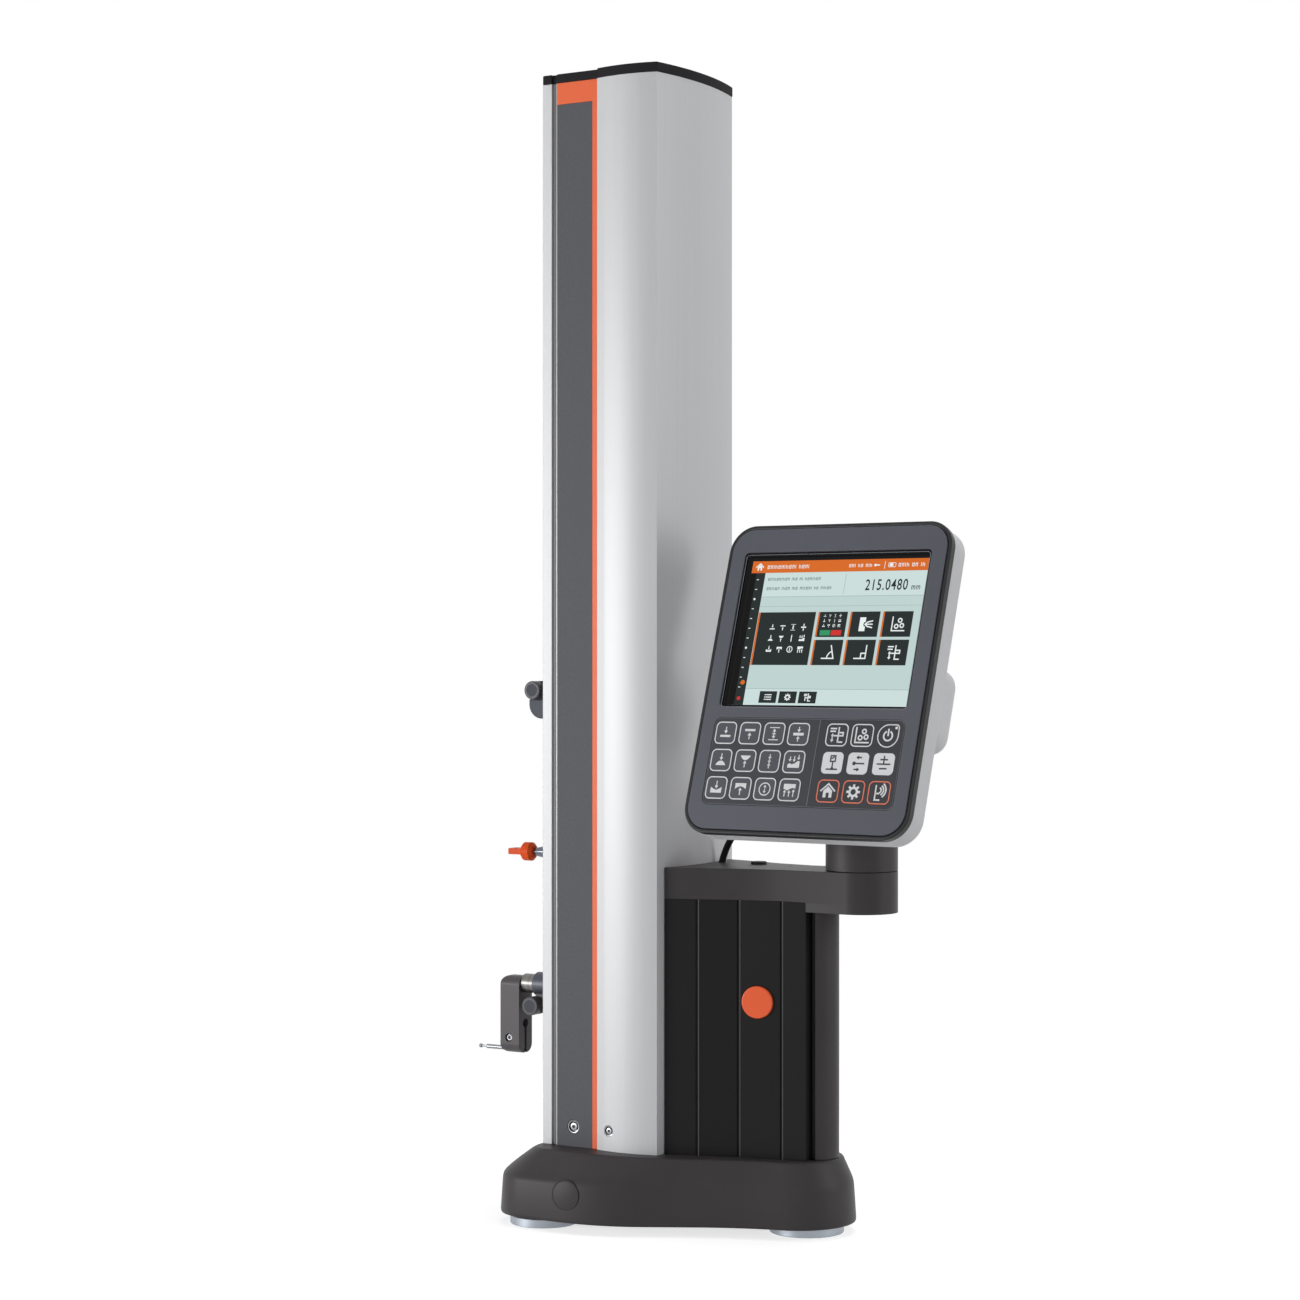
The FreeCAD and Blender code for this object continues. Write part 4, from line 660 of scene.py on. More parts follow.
def base_outline(inset, front, half, corner, shoulder_x, shoulder_r, taper, run, waist_r, turn):
    """The base seen from above, as points from the front middle round its left side to the tail."""
    slant = math.radians(taper)
    shoulder = shoulder_r - inset
    waist = waist_r + inset
    first_x = shoulder_x + shoulder * math.sin(slant)
    first_y = half - shoulder_r + shoulder * math.cos(slant)
    second_x = first_x + run * math.cos(slant)
    second_y = first_y - run * math.sin(slant)
    waist_x = second_x + waist * math.sin(slant)
    waist_y = second_y + waist * math.cos(slant)
    tail_x = waist_x - waist_y * math.tan(math.radians(turn))
    tail_r = waist_y / math.cos(math.radians(turn)) - waist
    points = [(front + inset, (half - corner) * step / FRONT_STEPS) for step in range(FRONT_STEPS)]
    points += arc_points(front + corner, half - corner, corner - inset, 180, 90, CORNER_STEPS)
    points += arc_points(shoulder_x, half - shoulder_r, shoulder, 90, 90 - taper, BEND_STEPS)[:-1]
    for step in range(RUN_STEPS):
        share = step / RUN_STEPS
        points.append((first_x + (second_x - first_x) * share, first_y + (second_y - first_y) * share))
    points += arc_points(waist_x, waist_y, waist, -90 - taper, -90 - turn, BEND_STEPS)[:-1]
    points += arc_points(tail_x, 0.0, tail_r, 90 - turn, 0, TAIL_STEPS)
    return points


def base_ring(shape, height, inset, share):
    """One level of the base skin, all the way round."""
    half = [
        (wx + (hx - wx) * share, wy + (hy - wy) * share)
        for (wx, wy), (hx, hy) in zip(base_outline(inset, **WIDE_PLAN), base_outline(inset, **HIGH_PLAN))
    ]
    whole = half + [(x, -y) for x, y in reversed(half[1:-1])]
    return [shape.verts.new((x * MM, y * MM, height * MM)) for x, y in whole]


def make_base():
    """A moulded base skin with soft lines, hollow below."""
    shape = bmesh.new()
    rings = [base_ring(shape, *level) for level in BASE_HOLLOW + BASE_SKIN]
    skin(shape, rings)
    shape.faces.new(rings[-1])
    shape.faces.new(rings[0])
    bmesh.ops.recalc_face_normals(shape, faces=shape.faces)
    stand_for(from_bmesh("base_skin", shape, SATIN), "frame", "base_cover", "black_shell")


# Plugs in the base's sides, which lean with the skin round them

PLUG_FACE = 117.4
PLUG_LEAN = 3.1
PLUG_TURN = 2.7
PLUG_DEPTH = 6.3
JOINT_WIDTH = 0.9
JOINT_DEPTH = 1.6
JOINT_SINK = 0.12


def side_disc(profile, face):
    """A turned shape in both sides of the base, with its face so far from the middle."""
    low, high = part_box("base_plugs")
    centre = (low + high) / 2
    parts = []
    for sign in (-1, 1):
        shape = turned_shape(profile)
        turn = Matrix.Rotation(math.radians(-90 * sign), 4, "X")
        lean = Matrix.Rotation(math.radians(PLUG_LEAN * sign), 4, "X")
        along = Matrix.Rotation(math.radians(-PLUG_TURN * sign), 4, "Z")
        spot = Matrix.Translation((centre.x, sign * face * MM, centre.z))
        bmesh.ops.transform(shape, matrix=spot @ along @ lean @ turn, verts=shape.verts)
        parts.append(shape)
    return join_shapes(parts)


def make_plugs():
    """Round plugs, each in a thin dark joint."""
    low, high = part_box("base_plugs")
    radius = (high.x - low.x) / 2 / MM
    plug = side_disc([
        (0, 0), (radius - 1.2, 0), (radius - 0.5, -0.2), (radius, -0.9),
        (radius, -PLUG_DEPTH), (0, -PLUG_DEPTH),
    ], PLUG_FACE)
    stand_for(from_bmesh("side_plugs", plug, SATIN), "frame", "base_plugs", "black_plastic")
    outer = radius + JOINT_WIDTH
    joint = side_disc([
        (0, 0), (outer - 0.4, 0), (outer, -0.3), (outer, -JOINT_DEPTH), (0, -JOINT_DEPTH),
    ], PLUG_FACE - JOINT_SINK)
    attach(from_bmesh("plug_joints", joint, BLACK), "frame")


# Screws, set by geometry nodes

# A button head with a hexagon socket in a countersunk ring, in units of its radius.
SCREW_HEAD = [
    (0, -0.55), (0.24, -0.55), (0.25, 0.0), (0.30, 0.05), (0.50, 0.02), (0.58, -0.08), (0.60, -0.60),
    (0.78, -0.60), (0.84, 0.02), (0.94, 0.05), (1.0, 0.0), (1.0, -0.8), (0, -0.8),
]
PANEL_SCREW = 6.0
COVER_SCREW = 4.8
PLATE_SCREW = 1.8
PANEL_SCREW_Y = 66.0
COVER_SCREW_SINK = 0.1
PLATE_SCREW_SPOTS = [(1.9, 30.0), (33.8, 1.6), (34.4, 35.6), (67.9, 13.6)]


def screw_tree():
    """Stands a head on each point, along the point's own facing and at its own size."""
    tree = bpy.data.node_groups.new("set_screws", "GeometryNodeTree")
    sockets = {"Geometry": "Geometry", "Head": "Object", "Finish": "Material", "Size": "Float"}
    for name, kind in sockets.items():
        tree.interface.new_socket(name, in_out="INPUT", socket_type="NodeSocket" + kind)
    tree.interface.new_socket("Geometry", in_out="OUTPUT", socket_type="NodeSocketGeometry")
    maker = NodeMaker(tree)
    given = {name: Signal(maker, socket) for name, socket in maker.node("NodeGroupInput").outputs.items()}
    named = "GeometryNodeInputNamedAttribute"
    facing = maker.part(named, 0, {"data_type": "FLOAT_VECTOR"}, {0: "facing"})
    own_size = maker.part(named, 0, {"data_type": "FLOAT"}, {0: "own_size"})
    align = maker.part("FunctionNodeAlignRotationToVector", 0, {"axis": "Z"}, {"Vector": facing})
    head = maker.part("GeometryNodeObjectInfo", "Geometry", None, {0: given["Head"]})
    points = maker.part("GeometryNodeMeshToPoints", 0, None, {0: given["Geometry"]})
    heads = maker.part("GeometryNodeInstanceOnPoints", 0, None, {
        "Points": points, "Instance": head, "Rotation": align, "Scale": own_size * given["Size"],
    })
    real = maker.part("GeometryNodeRealizeInstances", 0, None, {0: heads})
    painted = maker.part("GeometryNodeSetMaterial", 0, None, {"Geometry": real, "Material": given["Finish"]})
    maker.node("NodeGroupOutput", None, {0: painted})
    return tree


def set_screws(name, tree, head, finish, places):
    """Screws at (point, facing, radius) in metres, as one plain mesh."""
    mesh = bpy.data.meshes.new(name + "_points")
    mesh.from_pydata([point for point, _, _ in places], [], [])
    mesh.attributes.new("facing", "FLOAT_VECTOR", "POINT")
    mesh.attributes.new("own_size", "FLOAT", "POINT")
    for number, (_, direction, radius) in enumerate(places):
        mesh.attributes["facing"].data[number].vector = direction
        mesh.attributes["own_size"].data[number].value = radius
    holder = new_piece(name + "_points", mesh, finish)
    modifier = holder.modifiers.new("screws", "NODES")
    modifier.node_group = tree
    values = {"Head": head, "Finish": finish, "Size": 1.0}
    for socket in tree.interface.items_tree:
        if socket.in_out == "INPUT" and socket.name in values:
            modifier[socket.identifier] = values[socket.name]
    made = plain_mesh(holder)
    smooth(made, SHARP_ON_SCREWS)
    return add_object(name, made)


def make_screws():
    """The screws of the column's skin and of the arm's top plate."""
    head = from_bmesh("screw_head", turned_shape(SCREW_HEAD, 36, 1.0), STEEL)
    tree = screw_tree()
    low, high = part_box("column_screws")
    z = (low.z + high.z) / 2
    panel_x = low.x + PANEL_SCREW * MM
    cover_x = high.x - COVER_SCREW * MM
    cover_y = high.y - COVER_SCREW_SINK * MM
    places = []
    for sign in (-1, 1):
        places.append(((panel_x, sign * PANEL_SCREW_Y * MM, z), (0, sign, 0), PANEL_SCREW * MM))
        places.append(((cover_x, sign * cover_y, z), (0, sign, 0), COVER_SCREW * MM))
    piece = set_screws("skin_screws", tree, head, SCREW, places)
    stand_for(piece, "frame", "column_screws", "bright_steel")
    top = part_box("arm_screws")[1].z
    places = [((x * MM, y * MM, top), (0, 0, 1), PLATE_SCREW * MM) for x, y in PLATE_SCREW_SPOTS]
    piece = set_screws("plate_screws", tree, head, BLACK, places)
    stand_for(piece, "frame", "arm_screws", "bright_steel")
    bpy.data.objects.remove(head)


# Flat drawing on the display

MITRE_LIMIT = 0.35
ROUND_STEPS = 24
CORNER_FACETS = 6


def display_place():
    """From the display's own millimetres (across, up, out of its face) to the shared frame."""
    turn = Matrix.Rotation(math.radians(-DISPLAY_TURN), 4, "Z")
    lean = Matrix.Rotation(math.radians(90 - DISPLAY_TILT), 4, "X")
    centre = Vector((POST_X, 0, DISPLAY_Z)) + turn @ Vector((0, -DISPLAY_REACH, 0))
    return Matrix.Translation(centre * MM) @ turn @ lean @ Matrix.Scale(MM, 4)


def circle_points(x, y, radius):
    return arc_points(x, y, radius, 0, 360, ROUND_STEPS)[:-1]


def rounded_points(x, y, width, height, corner):
    """A rectangle about (x, y) with round corners."""
    w, h = width / 2 - corner, height / 2 - corner
    points = []
    for cx, cy, start in ((w, -h, -90), (w, h, 0), (-w, h, 90), (-w, -h, 180)):
        points += arc_points(x + cx, y + cy, corner, start, start + 90, CORNER_FACETS)
    return points


class Drawing:
    """Thin flat shapes printed or lit on the display, at one height over its face."""

    def __init__(self, name, finish, height):
        self.name = name
        self.finish = finish
        self.height = height
        self.shape = bmesh.new()

    def area(self, points):
        total = sum(
            x0 * y1 - x1 * y0 for (x0, y0), (x1, y1) in zip(points, points[1:] + points[:1])
        )
        if total < 0:
            points = list(reversed(points))
        corners = [self.shape.verts.new((x, y, self.height)) for x, y in points]
        self.shape.faces.new(corners)

    def bar(self, x0, y0, x1, y1):
        self.area([(x0, y0), (x1, y0), (x1, y1), (x0, y1)])

    def stroke(self, points, width, closed=False):
        """A line of one width with mitred corners."""
        count = len(points)
        sides = []
        for number, (x, y) in enumerate(points):
            before = points[number - 1] if number or closed else None
            after = points[(number + 1) % count] if number < count - 1 or closed else None
            into = Vector((x - before[0], y - before[1])).normalized() if before else None
            out = Vector((after[0] - x, after[1] - y)).normalized() if after else None
            into = into or out
            out = out or into
            middle = (into + out).normalized()
            reach = width / 2 / max(MITRE_LIMIT, middle.dot(out))
            side = Vector((-middle.y, middle.x)) * reach
            if before is None:
                x, y = x - out.x * width / 2, y - out.y * width / 2
            if after is None:
                x, y = x + into.x * width / 2, y + into.y * width / 2
            sides.append(((x + side.x, y + side.y), (x - side.x, y - side.y)))
        pairs = list(zip(sides, sides[1:]))
        if closed:
            pairs.append((sides[-1], sides[0]))
        for (left, right), (next_left, next_right) in pairs:
            self.area([left, right, next_right, next_left])

    def disc(self, x, y, radius):
        self.area(circle_points(x, y, radius))

    def ring(self, x, y, radius, width):
        self.stroke(circle_points(x, y, radius), width, True)

    def plate(self, x, y, width, height, corner):
        self.area(rounded_points(x, y, width, height, corner))

    def rounded_frame(self, x, y, width, height, corner, thick):
        self.stroke(rounded_points(x, y, width, height, corner), thick, True)

    def done(self):
        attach(from_bmesh(self.name, self.shape, self.finish, display_place()), "display")


# Symbols, each drawn in a square from -1 to 1

ARROW_SPREAD = 0.72
GEAR_TEETH = 8
GEAR_BORE = 0.36

# The corners of one tooth, as angle and radius.
GEAR_TOOTH = ((-13, 0.66), (-9, 0.95), (9, 0.95), (13, 0.66))


def line(*points):
    return ("line", list(points))


def area(*points):
    return ("area", list(points))


def ring(x, y, radius):
    return ("ring", (x, y, radius))


def block(x0, y0, x1, y1):
    return area((x0, y0), (x1, y0), (x1, y1), (x0, y1))


def arrow(start, tip, head=0.34):
    """A line with a head so long at its tip."""
    way = Vector((tip[0] - start[0], tip[1] - start[1])).normalized()
    side = Vector((-way.y, way.x)) * head * ARROW_SPREAD
    back = Vector(tip) - way * head
    return [line(start, tuple(back)), area(tip, tuple(back + side), tuple(back - side))]


def double_arrow(x0, y0, x1, y1):
    middle = ((x0 + x1) / 2, (y0 + y1) / 2)
    return arrow(middle, (x0, y0)) + arrow(middle, (x1, y1))


def diamond(y):
    return area((0, y + 0.2), (-0.28, y), (0, y - 0.2), (0.28, y))


def gear_points():
    """The corners of a gear's teeth, tooth by tooth."""
    points = []
    for tooth in range(GEAR_TEETH):
        for angle, radius in GEAR_TOOTH:
            turn = math.radians(tooth * 360 / GEAR_TEETH + angle)
            points.append((radius * math.cos(turn), radius * math.sin(turn)))
    return points


SYMBOLS = {
    "floor": [block(-0.85, -0.62, 0.85, -0.30)] + arrow((0, 0.8), (0, -0.12), 0.45),
    "ceiling": [block(-0.85, 0.30, 0.85, 0.62)] + arrow((0, -0.8), (0, 0.12), 0.45),
    "gap": [block(-0.8, 0.82, 0.8, 0.95), block(-0.8, -0.95, 0.8, -0.82), block(-0.3, -0.07, 0.3, 0.07)]
    + arrow((0, 0.0), (0, 0.74), 0.42) + arrow((0, 0.0), (0, -0.74), 0.42),
    "web": [block(-0.85, -0.2, 0.85, 0.2)]
    + arrow((0, 0.98), (0, 0.26), 0.42) + arrow((0, -0.98), (0, -0.26), 0.42),
    "peak": [area((-0.85, -0.75), (0.85, -0.75), (0.62, -0.38), (0.25, -0.1), (-0.25, -0.1),
                  (-0.62, -0.38))] + arrow((0, 0.9), (0, -0.02), 0.42),
    "funnel": [area((-0.85, 0.75), (0.85, 0.75), (0.62, 0.38), (0.25, 0.1), (-0.25, 0.1),
                    (-0.62, 0.38))] + arrow((0, -0.9), (0, 0.02), 0.42),
    "steps": [line((0, 0.95), (0, -0.95)), diamond(0.55), diamond(0.0), diamond(-0.55)],
    "wave": [area((-0.95, -0.85), (0.95, -0.85), (0.95, 0.1), (0.6, 0.15), (0.2, -0.2),
                  (-0.3, -0.35), (-0.6, -0.2), (-0.95, -0.35))]
    + arrow((-0.65, 0.7), (-0.65, 0.02), 0.36) + arrow((0.02, 0.75), (0.02, -0.02), 0.36)
    + arrow((0.7, 0.95), (0.7, 0.26), 0.36),
    "valley": [area((-0.9, -0.75), (0.9, -0.75), (0.9, 0.1), (0.5, -0.15), (0.0, -0.35),
                    (-0.5, -0.15), (-0.9, 0.1))] + arrow((0, 0.9), (0, -0.14), 0.42),
    "arch": [area((-0.9, 0.75), (0.9, 0.75), (0.9, -0.1), (0.5, 0.15), (0.0, 0.3),
                  (-0.5, 0.15), (-0.9, -0.1))] + arrow((0, -0.9), (0, 0.12), 0.42),
    "bore": [ring(0, 0, 0.88)] + double_arrow(0, -0.62, 0, 0.62),
    "ramp": [area((-0.95, 0.85), (0.95, 0.85), (0.95, 0.2), (0.5, 0.3), (0.1, 0.15),
                  (-0.3, -0.1), (-0.95, 0.15))]
    + arrow((-0.7, -0.9), (-0.7, 0.0), 0.36) + arrow((0.02, -0.9), (0.02, -0.05), 0.36)
    + arrow((0.7, -0.9), (0.7, 0.1), 0.36),
    "column": [line((0.2, -0.9), (0.2, 0.9)), line((0.2, -0.9), (0.8, -0.9)),
               line((-0.3, -0.1), (0.85, -0.1), (0.85, 0.3), (0.3, 0.3)),
               line((-0.9, 0.8), (-0.2, 0.8)), line((-0.9, 0.45), (-0.3, 0.45))]
    + double_arrow(-0.6, -0.95, -0.6, 0.2),
    "pattern": [line((-0.9, 0.95), (-0.9, -0.9), (0.95, -0.9)), ring(-0.25, -0.3, 0.26),
                ring(0.55, -0.2, 0.26), ring(0.2, 0.5, 0.26)],
    "power": [line(*arc_points(0, 0, 0.72, 125, 415, 16)), line((0, 0.1), (0, 0.95))],
    "probe": [line((-0.32, 0.2), (-0.32, 0.95), (0.38, 0.95), (0.38, 0.2), (-0.32, 0.2)),
              line((0.05, 0.2), (0.05, -0.6)), line((-0.75, -0.85), (0.75, -0.85)),
              area((-0.25, -0.85), (0.35, -0.85), (0.05, -0.45)), line((-0.1, 0.6), (0.12, 0.75))],
    "shift": arrow((0.4, 0.8), (-0.35, 0.8), 0.4) + arrow((-0.4, -0.8), (0.35, -0.8), 0.4)
    + [line((-0.5, 0.0), (0.85, 0.0)), ring(-0.55, 0.0, 0.16)],
    "signs": [line((-0.45, 0.6), (0.45, 0.6)), line((0, 0.2), (0, 1.0)),
              line((-0.9, 0.0), (0.9, 0.0)), line((-0.45, -0.6), (0.45, -0.6))],
    "home": [area((-0.62, -0.8), (-0.2, -0.8), (-0.2, -0.2), (0.2, -0.2), (0.2, -0.8),
                  (0.62, -0.8), (0.62, 0.05), (0, 0.62), (-0.62, 0.05)),
             line((-0.95, 0.05), (0, 0.92), (0.95, 0.05))],
    "gear": [("cog", gear_points())],
    "signal": [line((-0.5, 0.85), (-0.5, -0.9), (0.1, -0.9)), line((-0.5, -0.1), (-0.05, -0.1)),
               line(*arc_points(-0.1, 0.3, 0.35, -50, 50, 6)),
               line(*arc_points(-0.1, 0.3, 0.68, -50, 50, 8)),
               line(*arc_points(-0.1, 0.3, 1.0, -50, 50, 8))],
    "list": [line((left, y), (right, y)) for left, right in ((-0.4, 0.9), (-0.9, -0.75))
             for y in (0.6, 0.0, -0.6)],
    "corner": [line((-0.9, -0.8), (0.75, -0.8), (0.75, 0.95)),
               line((0.05, -0.8), (0.05, -0.1), (0.75, -0.1))],
    "slope": [line((-0.9, -0.8), (0.85, -0.8), (0.3, 0.95)),
              line(*arc_points(0.85, -0.8, 1.0, 110, 178, 6))],
    "gauge": [area((-0.9, -0.95), (0.0, -0.95), (0.0, -0.3), (-0.2, -0.3), (-0.3, 0.0),
                   (-0.2, 0.3), (0.0, 0.3), (0.0, 0.95), (-0.9, 0.95)),
              line((1.0, 0.45), (0.3, 0.3), (-0.05, 0.0), (0.3, -0.3), (1.0, -0.45)),
              line((0.2, 0.0), (0.5, 0.0)), line((0.7, 0.0), (1.0, 0.0))],
}


def draw_symbol(drawing, name, x, y, reach, width):
    """A symbol about (x, y), so far to each side, with lines of one width."""

    def put(point):
        return (x + point[0] * reach, y + point[1] * reach)

    for kind, data in SYMBOLS[name]:
        if kind == "line":
            drawing.stroke([put(p) for p in data], width)
        elif kind == "area":
            drawing.area([put(p) for p in data])
        elif kind == "cog":
            outer = [put(p) for p in data]
            shares = [GEAR_BORE / math.hypot(*p) for p in data]
            inner = [put((p[0] * share, p[1] * share)) for p, share in zip(data, shares)]
            for number in range(len(outer)):
                after = (number + 1) % len(outer)
                drawing.area([outer[number], outer[after], inner[after], inner[number]])
        else:
            drawing.ring(*put(data[:2]), data[2] * reach, width)


# Keypad, in the display's own millimetres, with a key's width, height and corner as its size

KEY_PITCH = 24.0
RIGHT_KEY_PITCH = 24.144
KEY_SIZE = (19.6, 18.6, 4.0)
KEY_LINE = 1.0
KEY_ROWS = (-49.6, -73.6, -97.7)
LEFT_KEYS_X = -79.8
RIGHT_KEYS_X = 29.3
LEFT_KEYS = (
    ("floor", "ceiling", "gap", "web"),
    ("peak", "funnel", "steps", "wave"),
    ("valley", "arch", "bore", "ramp"),
)
RIGHT_KEYS = (("column", "pattern", "power"), ("probe", "shift", "signs"), ("home", "gear", "signal"))

# Heights over the display's face, one layer of print over another.
PANEL_LAYER = KEYPAD_FRONT + 0.05
EDGE_LAYER = KEYPAD_FRONT + 0.10
FILL_LAYER = KEYPAD_FRONT + 0.13
MARK_LAYER = KEYPAD_FRONT + 0.19
DARK_LAYER = KEYPAD_FRONT + 0.25

# The darker panel under the right keys, the line beside it, and the line round the sheet, with its
# middle, size, corner and width.
PANEL_LEFT = 11.6
PANEL_RIGHT = 91.4
PANEL_LOW = -111.2
PANEL_TOP = -36.6
PANEL_CORNER = 5.8
SHEET_EDGE = (0, -74.0, 183.4, 75.3, 6.2, 0.3)
DIVIDER = [(11.3, -110.6), (11.3, -37.4)]
DIVIDER_WIDTH = 0.45

# How far a symbol reaches from its key's middle, and the width of its lines.
LEFT_SYMBOL = (6.0, 0.95)
RIGHT_SYMBOL = (6.8, 1.35)
FILLED_SYMBOL = (6.4, 1.3)
POWER_SYMBOL = (5.6, 1.5)
POWER_KEY = 9.5
POWER_LAMP = 1.3
POWER_LAMP_OUT = 6.9


def teardrop(x, y, radius):
    """A round outline with one square-cut corner at its upper right."""
    out = radius * 0.72
    return arc_points(x, y, radius, 92, 358, 22) + arc_points(x + out, y + out, radius - out, 0, 90, 5)


def keypad_ground():
    """What lies under the keys: the panel, the line round the sheet and the divider."""
    panel = Drawing("keypad_right_panel", FILM_DARK, PANEL_LAYER)
    x = PANEL_RIGHT - PANEL_CORNER
    low, top = PANEL_LOW + PANEL_CORNER, PANEL_TOP - PANEL_CORNER
    panel.area(
        [(PANEL_LEFT, PANEL_LOW)] + arc_points(x, low, PANEL_CORNER, -90, 0, CORNER_FACETS)
        + arc_points(x, top, PANEL_CORNER, 0, 90, CORNER_FACETS) + [(PANEL_LEFT, PANEL_TOP)]
    )
    panel.done()
    edge = Drawing("keypad_edge_line", EDGE_INK_AND_HIGHLIGHT, EDGE_LAYER)
    edge.rounded_frame(*SHEET_EDGE)
    edge.stroke(DIVIDER, DIVIDER_WIDTH)
    edge.done()


def make_keypad():
    """Twelve plain keys on the left, and nine on the right in three styles."""
    keypad_ground()
    fill = Drawing("key_fills", KEY_FILL, FILL_LAYER)
    white = Drawing("key_marks_white", WHITE_INK, MARK_LAYER)
    orange = Drawing("key_marks_orange", ORANGE_INK, MARK_LAYER)
    dark = Drawing("key_marks_dark", DARK_INK, DARK_LAYER)
    for y, names in zip(KEY_ROWS, LEFT_KEYS):
        for number, name in enumerate(names):
            x = LEFT_KEYS_X + KEY_PITCH * number
            fill.plate(x, y, *KEY_SIZE)
            white.rounded_frame(x, y, *KEY_SIZE, KEY_LINE)
            draw_symbol(white, name, x, y, *LEFT_SYMBOL)
    for row, (y, names) in enumerate(zip(KEY_ROWS, RIGHT_KEYS)):
        for number, name in enumerate(names):
            x = RIGHT_KEYS_X + RIGHT_KEY_PITCH * number
            if row == 1:
                white.plate(x, y, *KEY_SIZE)
                draw_symbol(dark, name, x, y, *FILLED_SYMBOL)
            elif name == "power":
                white.stroke(teardrop(x, y, POWER_KEY), KEY_LINE, True)
                white.disc(x + POWER_LAMP_OUT, y + POWER_LAMP_OUT, POWER_LAMP)
                draw_symbol(white, name, x, y, *POWER_SYMBOL)
            else:
                marks = orange if row == 2 else white
                marks.rounded_frame(x, y, *KEY_SIZE, KEY_LINE)
                draw_symbol(white, name, x, y, *RIGHT_SYMBOL)
    for drawing in (fill, white, orange, dark):
        drawing.done()


# Screen, laid out in shares of its width and height from its upper left corner

SCREEN_LEFT = -83.8
SCREEN_TOP = 105.1
SCREEN_WIDTH = 172.3
SCREEN_HEIGHT = 129.0

# Heights over the display's face, in millimetres.
GROUND_LAYER = GLASS_FRONT + 0.05
BAND_LAYER = GLASS_FRONT + 0.08
RULE_LAYER = GLASS_FRONT + 0.10
TILE_LAYER = GLASS_FRONT + 0.11
COLOUR_LAYER = GLASS_FRONT + 0.14
SIGN_LAYER = GLASS_FRONT + 0.18
FLAG_LAYER = GLASS_FRONT + 0.20
WINDOW_LAYER = 0.05

HEADER_END = 0.083
STRIP_END = 0.083
STRIP_DARK_END = 0.030
FIELD_LEFT = 0.085
FIELD_TOP = 0.085
READOUT_END = 0.25
FOOT_START = 0.89
TILE_EDGE = 0.009
BIG_TILE = (0.095, 0.36, 0.415, 0.725)
SMALL_TILES = [(left, top) for top in (0.36, 0.552) for left in (0.430, 0.612, 0.794)]
SMALL_TILE_WIDTH = 0.166
SMALL_TILE_HEIGHT = 0.173
FOOT_TILES = (0.17, 0.283, 0.396)
FOOT_TILE_TOP = 0.905
FOOT_TILE_LOW = 0.985
FOOT_TILE_WIDTH = 0.100
WINDOW = (-0.031, -0.036, 1.012, 1.022)
WINDOW_CORNER = 3.0
WINDOW_LINE = 0.5

# The marks down the scale strip, and the round marker that points at them.
SCALE_MARKS = 12
SCALE_START = 0.13
SCALE_PITCH = 0.068
SCALE_MARK = (0.038, 0.050, 0.0025)
SCALE_DOT = (0.044, 1.0)
MARKER = (0.060, 0.845, 2.1)
MARKER_TIP = ((0.042, 0.850), (0.060, 0.832), (0.060, 0.862))
STRIP_END_SIGN = (0.052, 0.955, 3.4, 3.0, 0.8)

# The thin rules of the field: left, top, right and bottom.
FIELD_RULES = [
    (FIELD_LEFT, READOUT_END, 1.0, 0.254),
    (FIELD_LEFT, 0.886, 1.0, FOOT_START),
    (FIELD_LEFT, 0.318, 1.0, 0.321),
    (0.55, 0.10, 0.553, 0.235),
]

# Small print: left, top, letters to each word, and height in millimetres.
FIELD_PRINT = [(0.105, 0.118, (10, 3, 2, 7), 2.7), (0.105, 0.183, (6, 4, 3, 6, 2, 5), 2.7)]
HEADER_PRINT = [
    (0.090, 0.029, (11, 4), 3.4),
    (0.560, 0.031, (3, 2, 3), 3.0),
    (0.836, 0.029, (4, 2, 2), 3.4),
]

# Signs of the header: a home sign, a key, a rule and a charged cell.
HOME_SIGN = (0.045, 0.043, 3.6, 1.0)
KEY_SIGN_BOW = (0.707, 0.042, 1.2)
KEY_SIGN_BLADE = (0.707, 0.038, 0.732, 0.046)
HEADER_RULE = (0.758, 0.016, 0.761, 0.068)
CELL = (0.800, 0.042, 7.0, 3.6, 0.8, 0.5)
CELL_CHARGE = (0.786, 0.032, 0.806, 0.052)

# Grids of symbols: rows of names, the first one's place, the pitch, and their reach and line.
SYMBOL_GRIDS = [
    (LEFT_KEYS, (0.178, 0.465), (0.060, 0.076), (2.9, 0.75)),
    (LEFT_KEYS, (0.470, 0.387), (0.029, 0.034), (1.35, 0.4)),
    (((None, "gauge", "pattern"), ("slope", "corner", "column")), (0.522, 0.447), (0.182, 0.192), (6.4, 1.1)),
    ((("list", "gear", "column"),), (0.220, 0.945), (0.113, 0.0), (3.4, 0.85)),
]

# The green and red flags on the first small tile.
FLAG_TOP = 0.486
FLAG_LOW = 0.522
FLAG_WIDTH = 0.058
GREEN_LEFT = 0.455
RED_LEFT = 0.518

READOUT = "215.0480"
READOUT_SIZE = 13.5
READOUT_RIGHT = 0.905
UNIT_SIZE = 7.5
UNIT_RIGHT = 0.975
READOUT_LINE = 0.213
FIGURE_WIDTH = 0.72
FIGURE_WEIGHT = 0.012
FIGURE_SPACE = 1.14


def across(share):
    """How far across the display a share of the screen's width reaches."""
    return SCREEN_LEFT + SCREEN_WIDTH * share


def down(share):
    """How high on the display a share of the screen's height, from its top, comes."""
    return SCREEN_TOP - SCREEN_HEIGHT * share


def screen_bar(drawing, left, top, right, bottom):
    drawing.bar(across(left), down(bottom), across(right), down(top))


def screen_bars(name, finish, height, *bars):
    """A drawing that is nothing but bars."""
    drawing = Drawing(name, finish, height)
    for bar in bars:
        screen_bar(drawing, *bar)
    drawing.done()


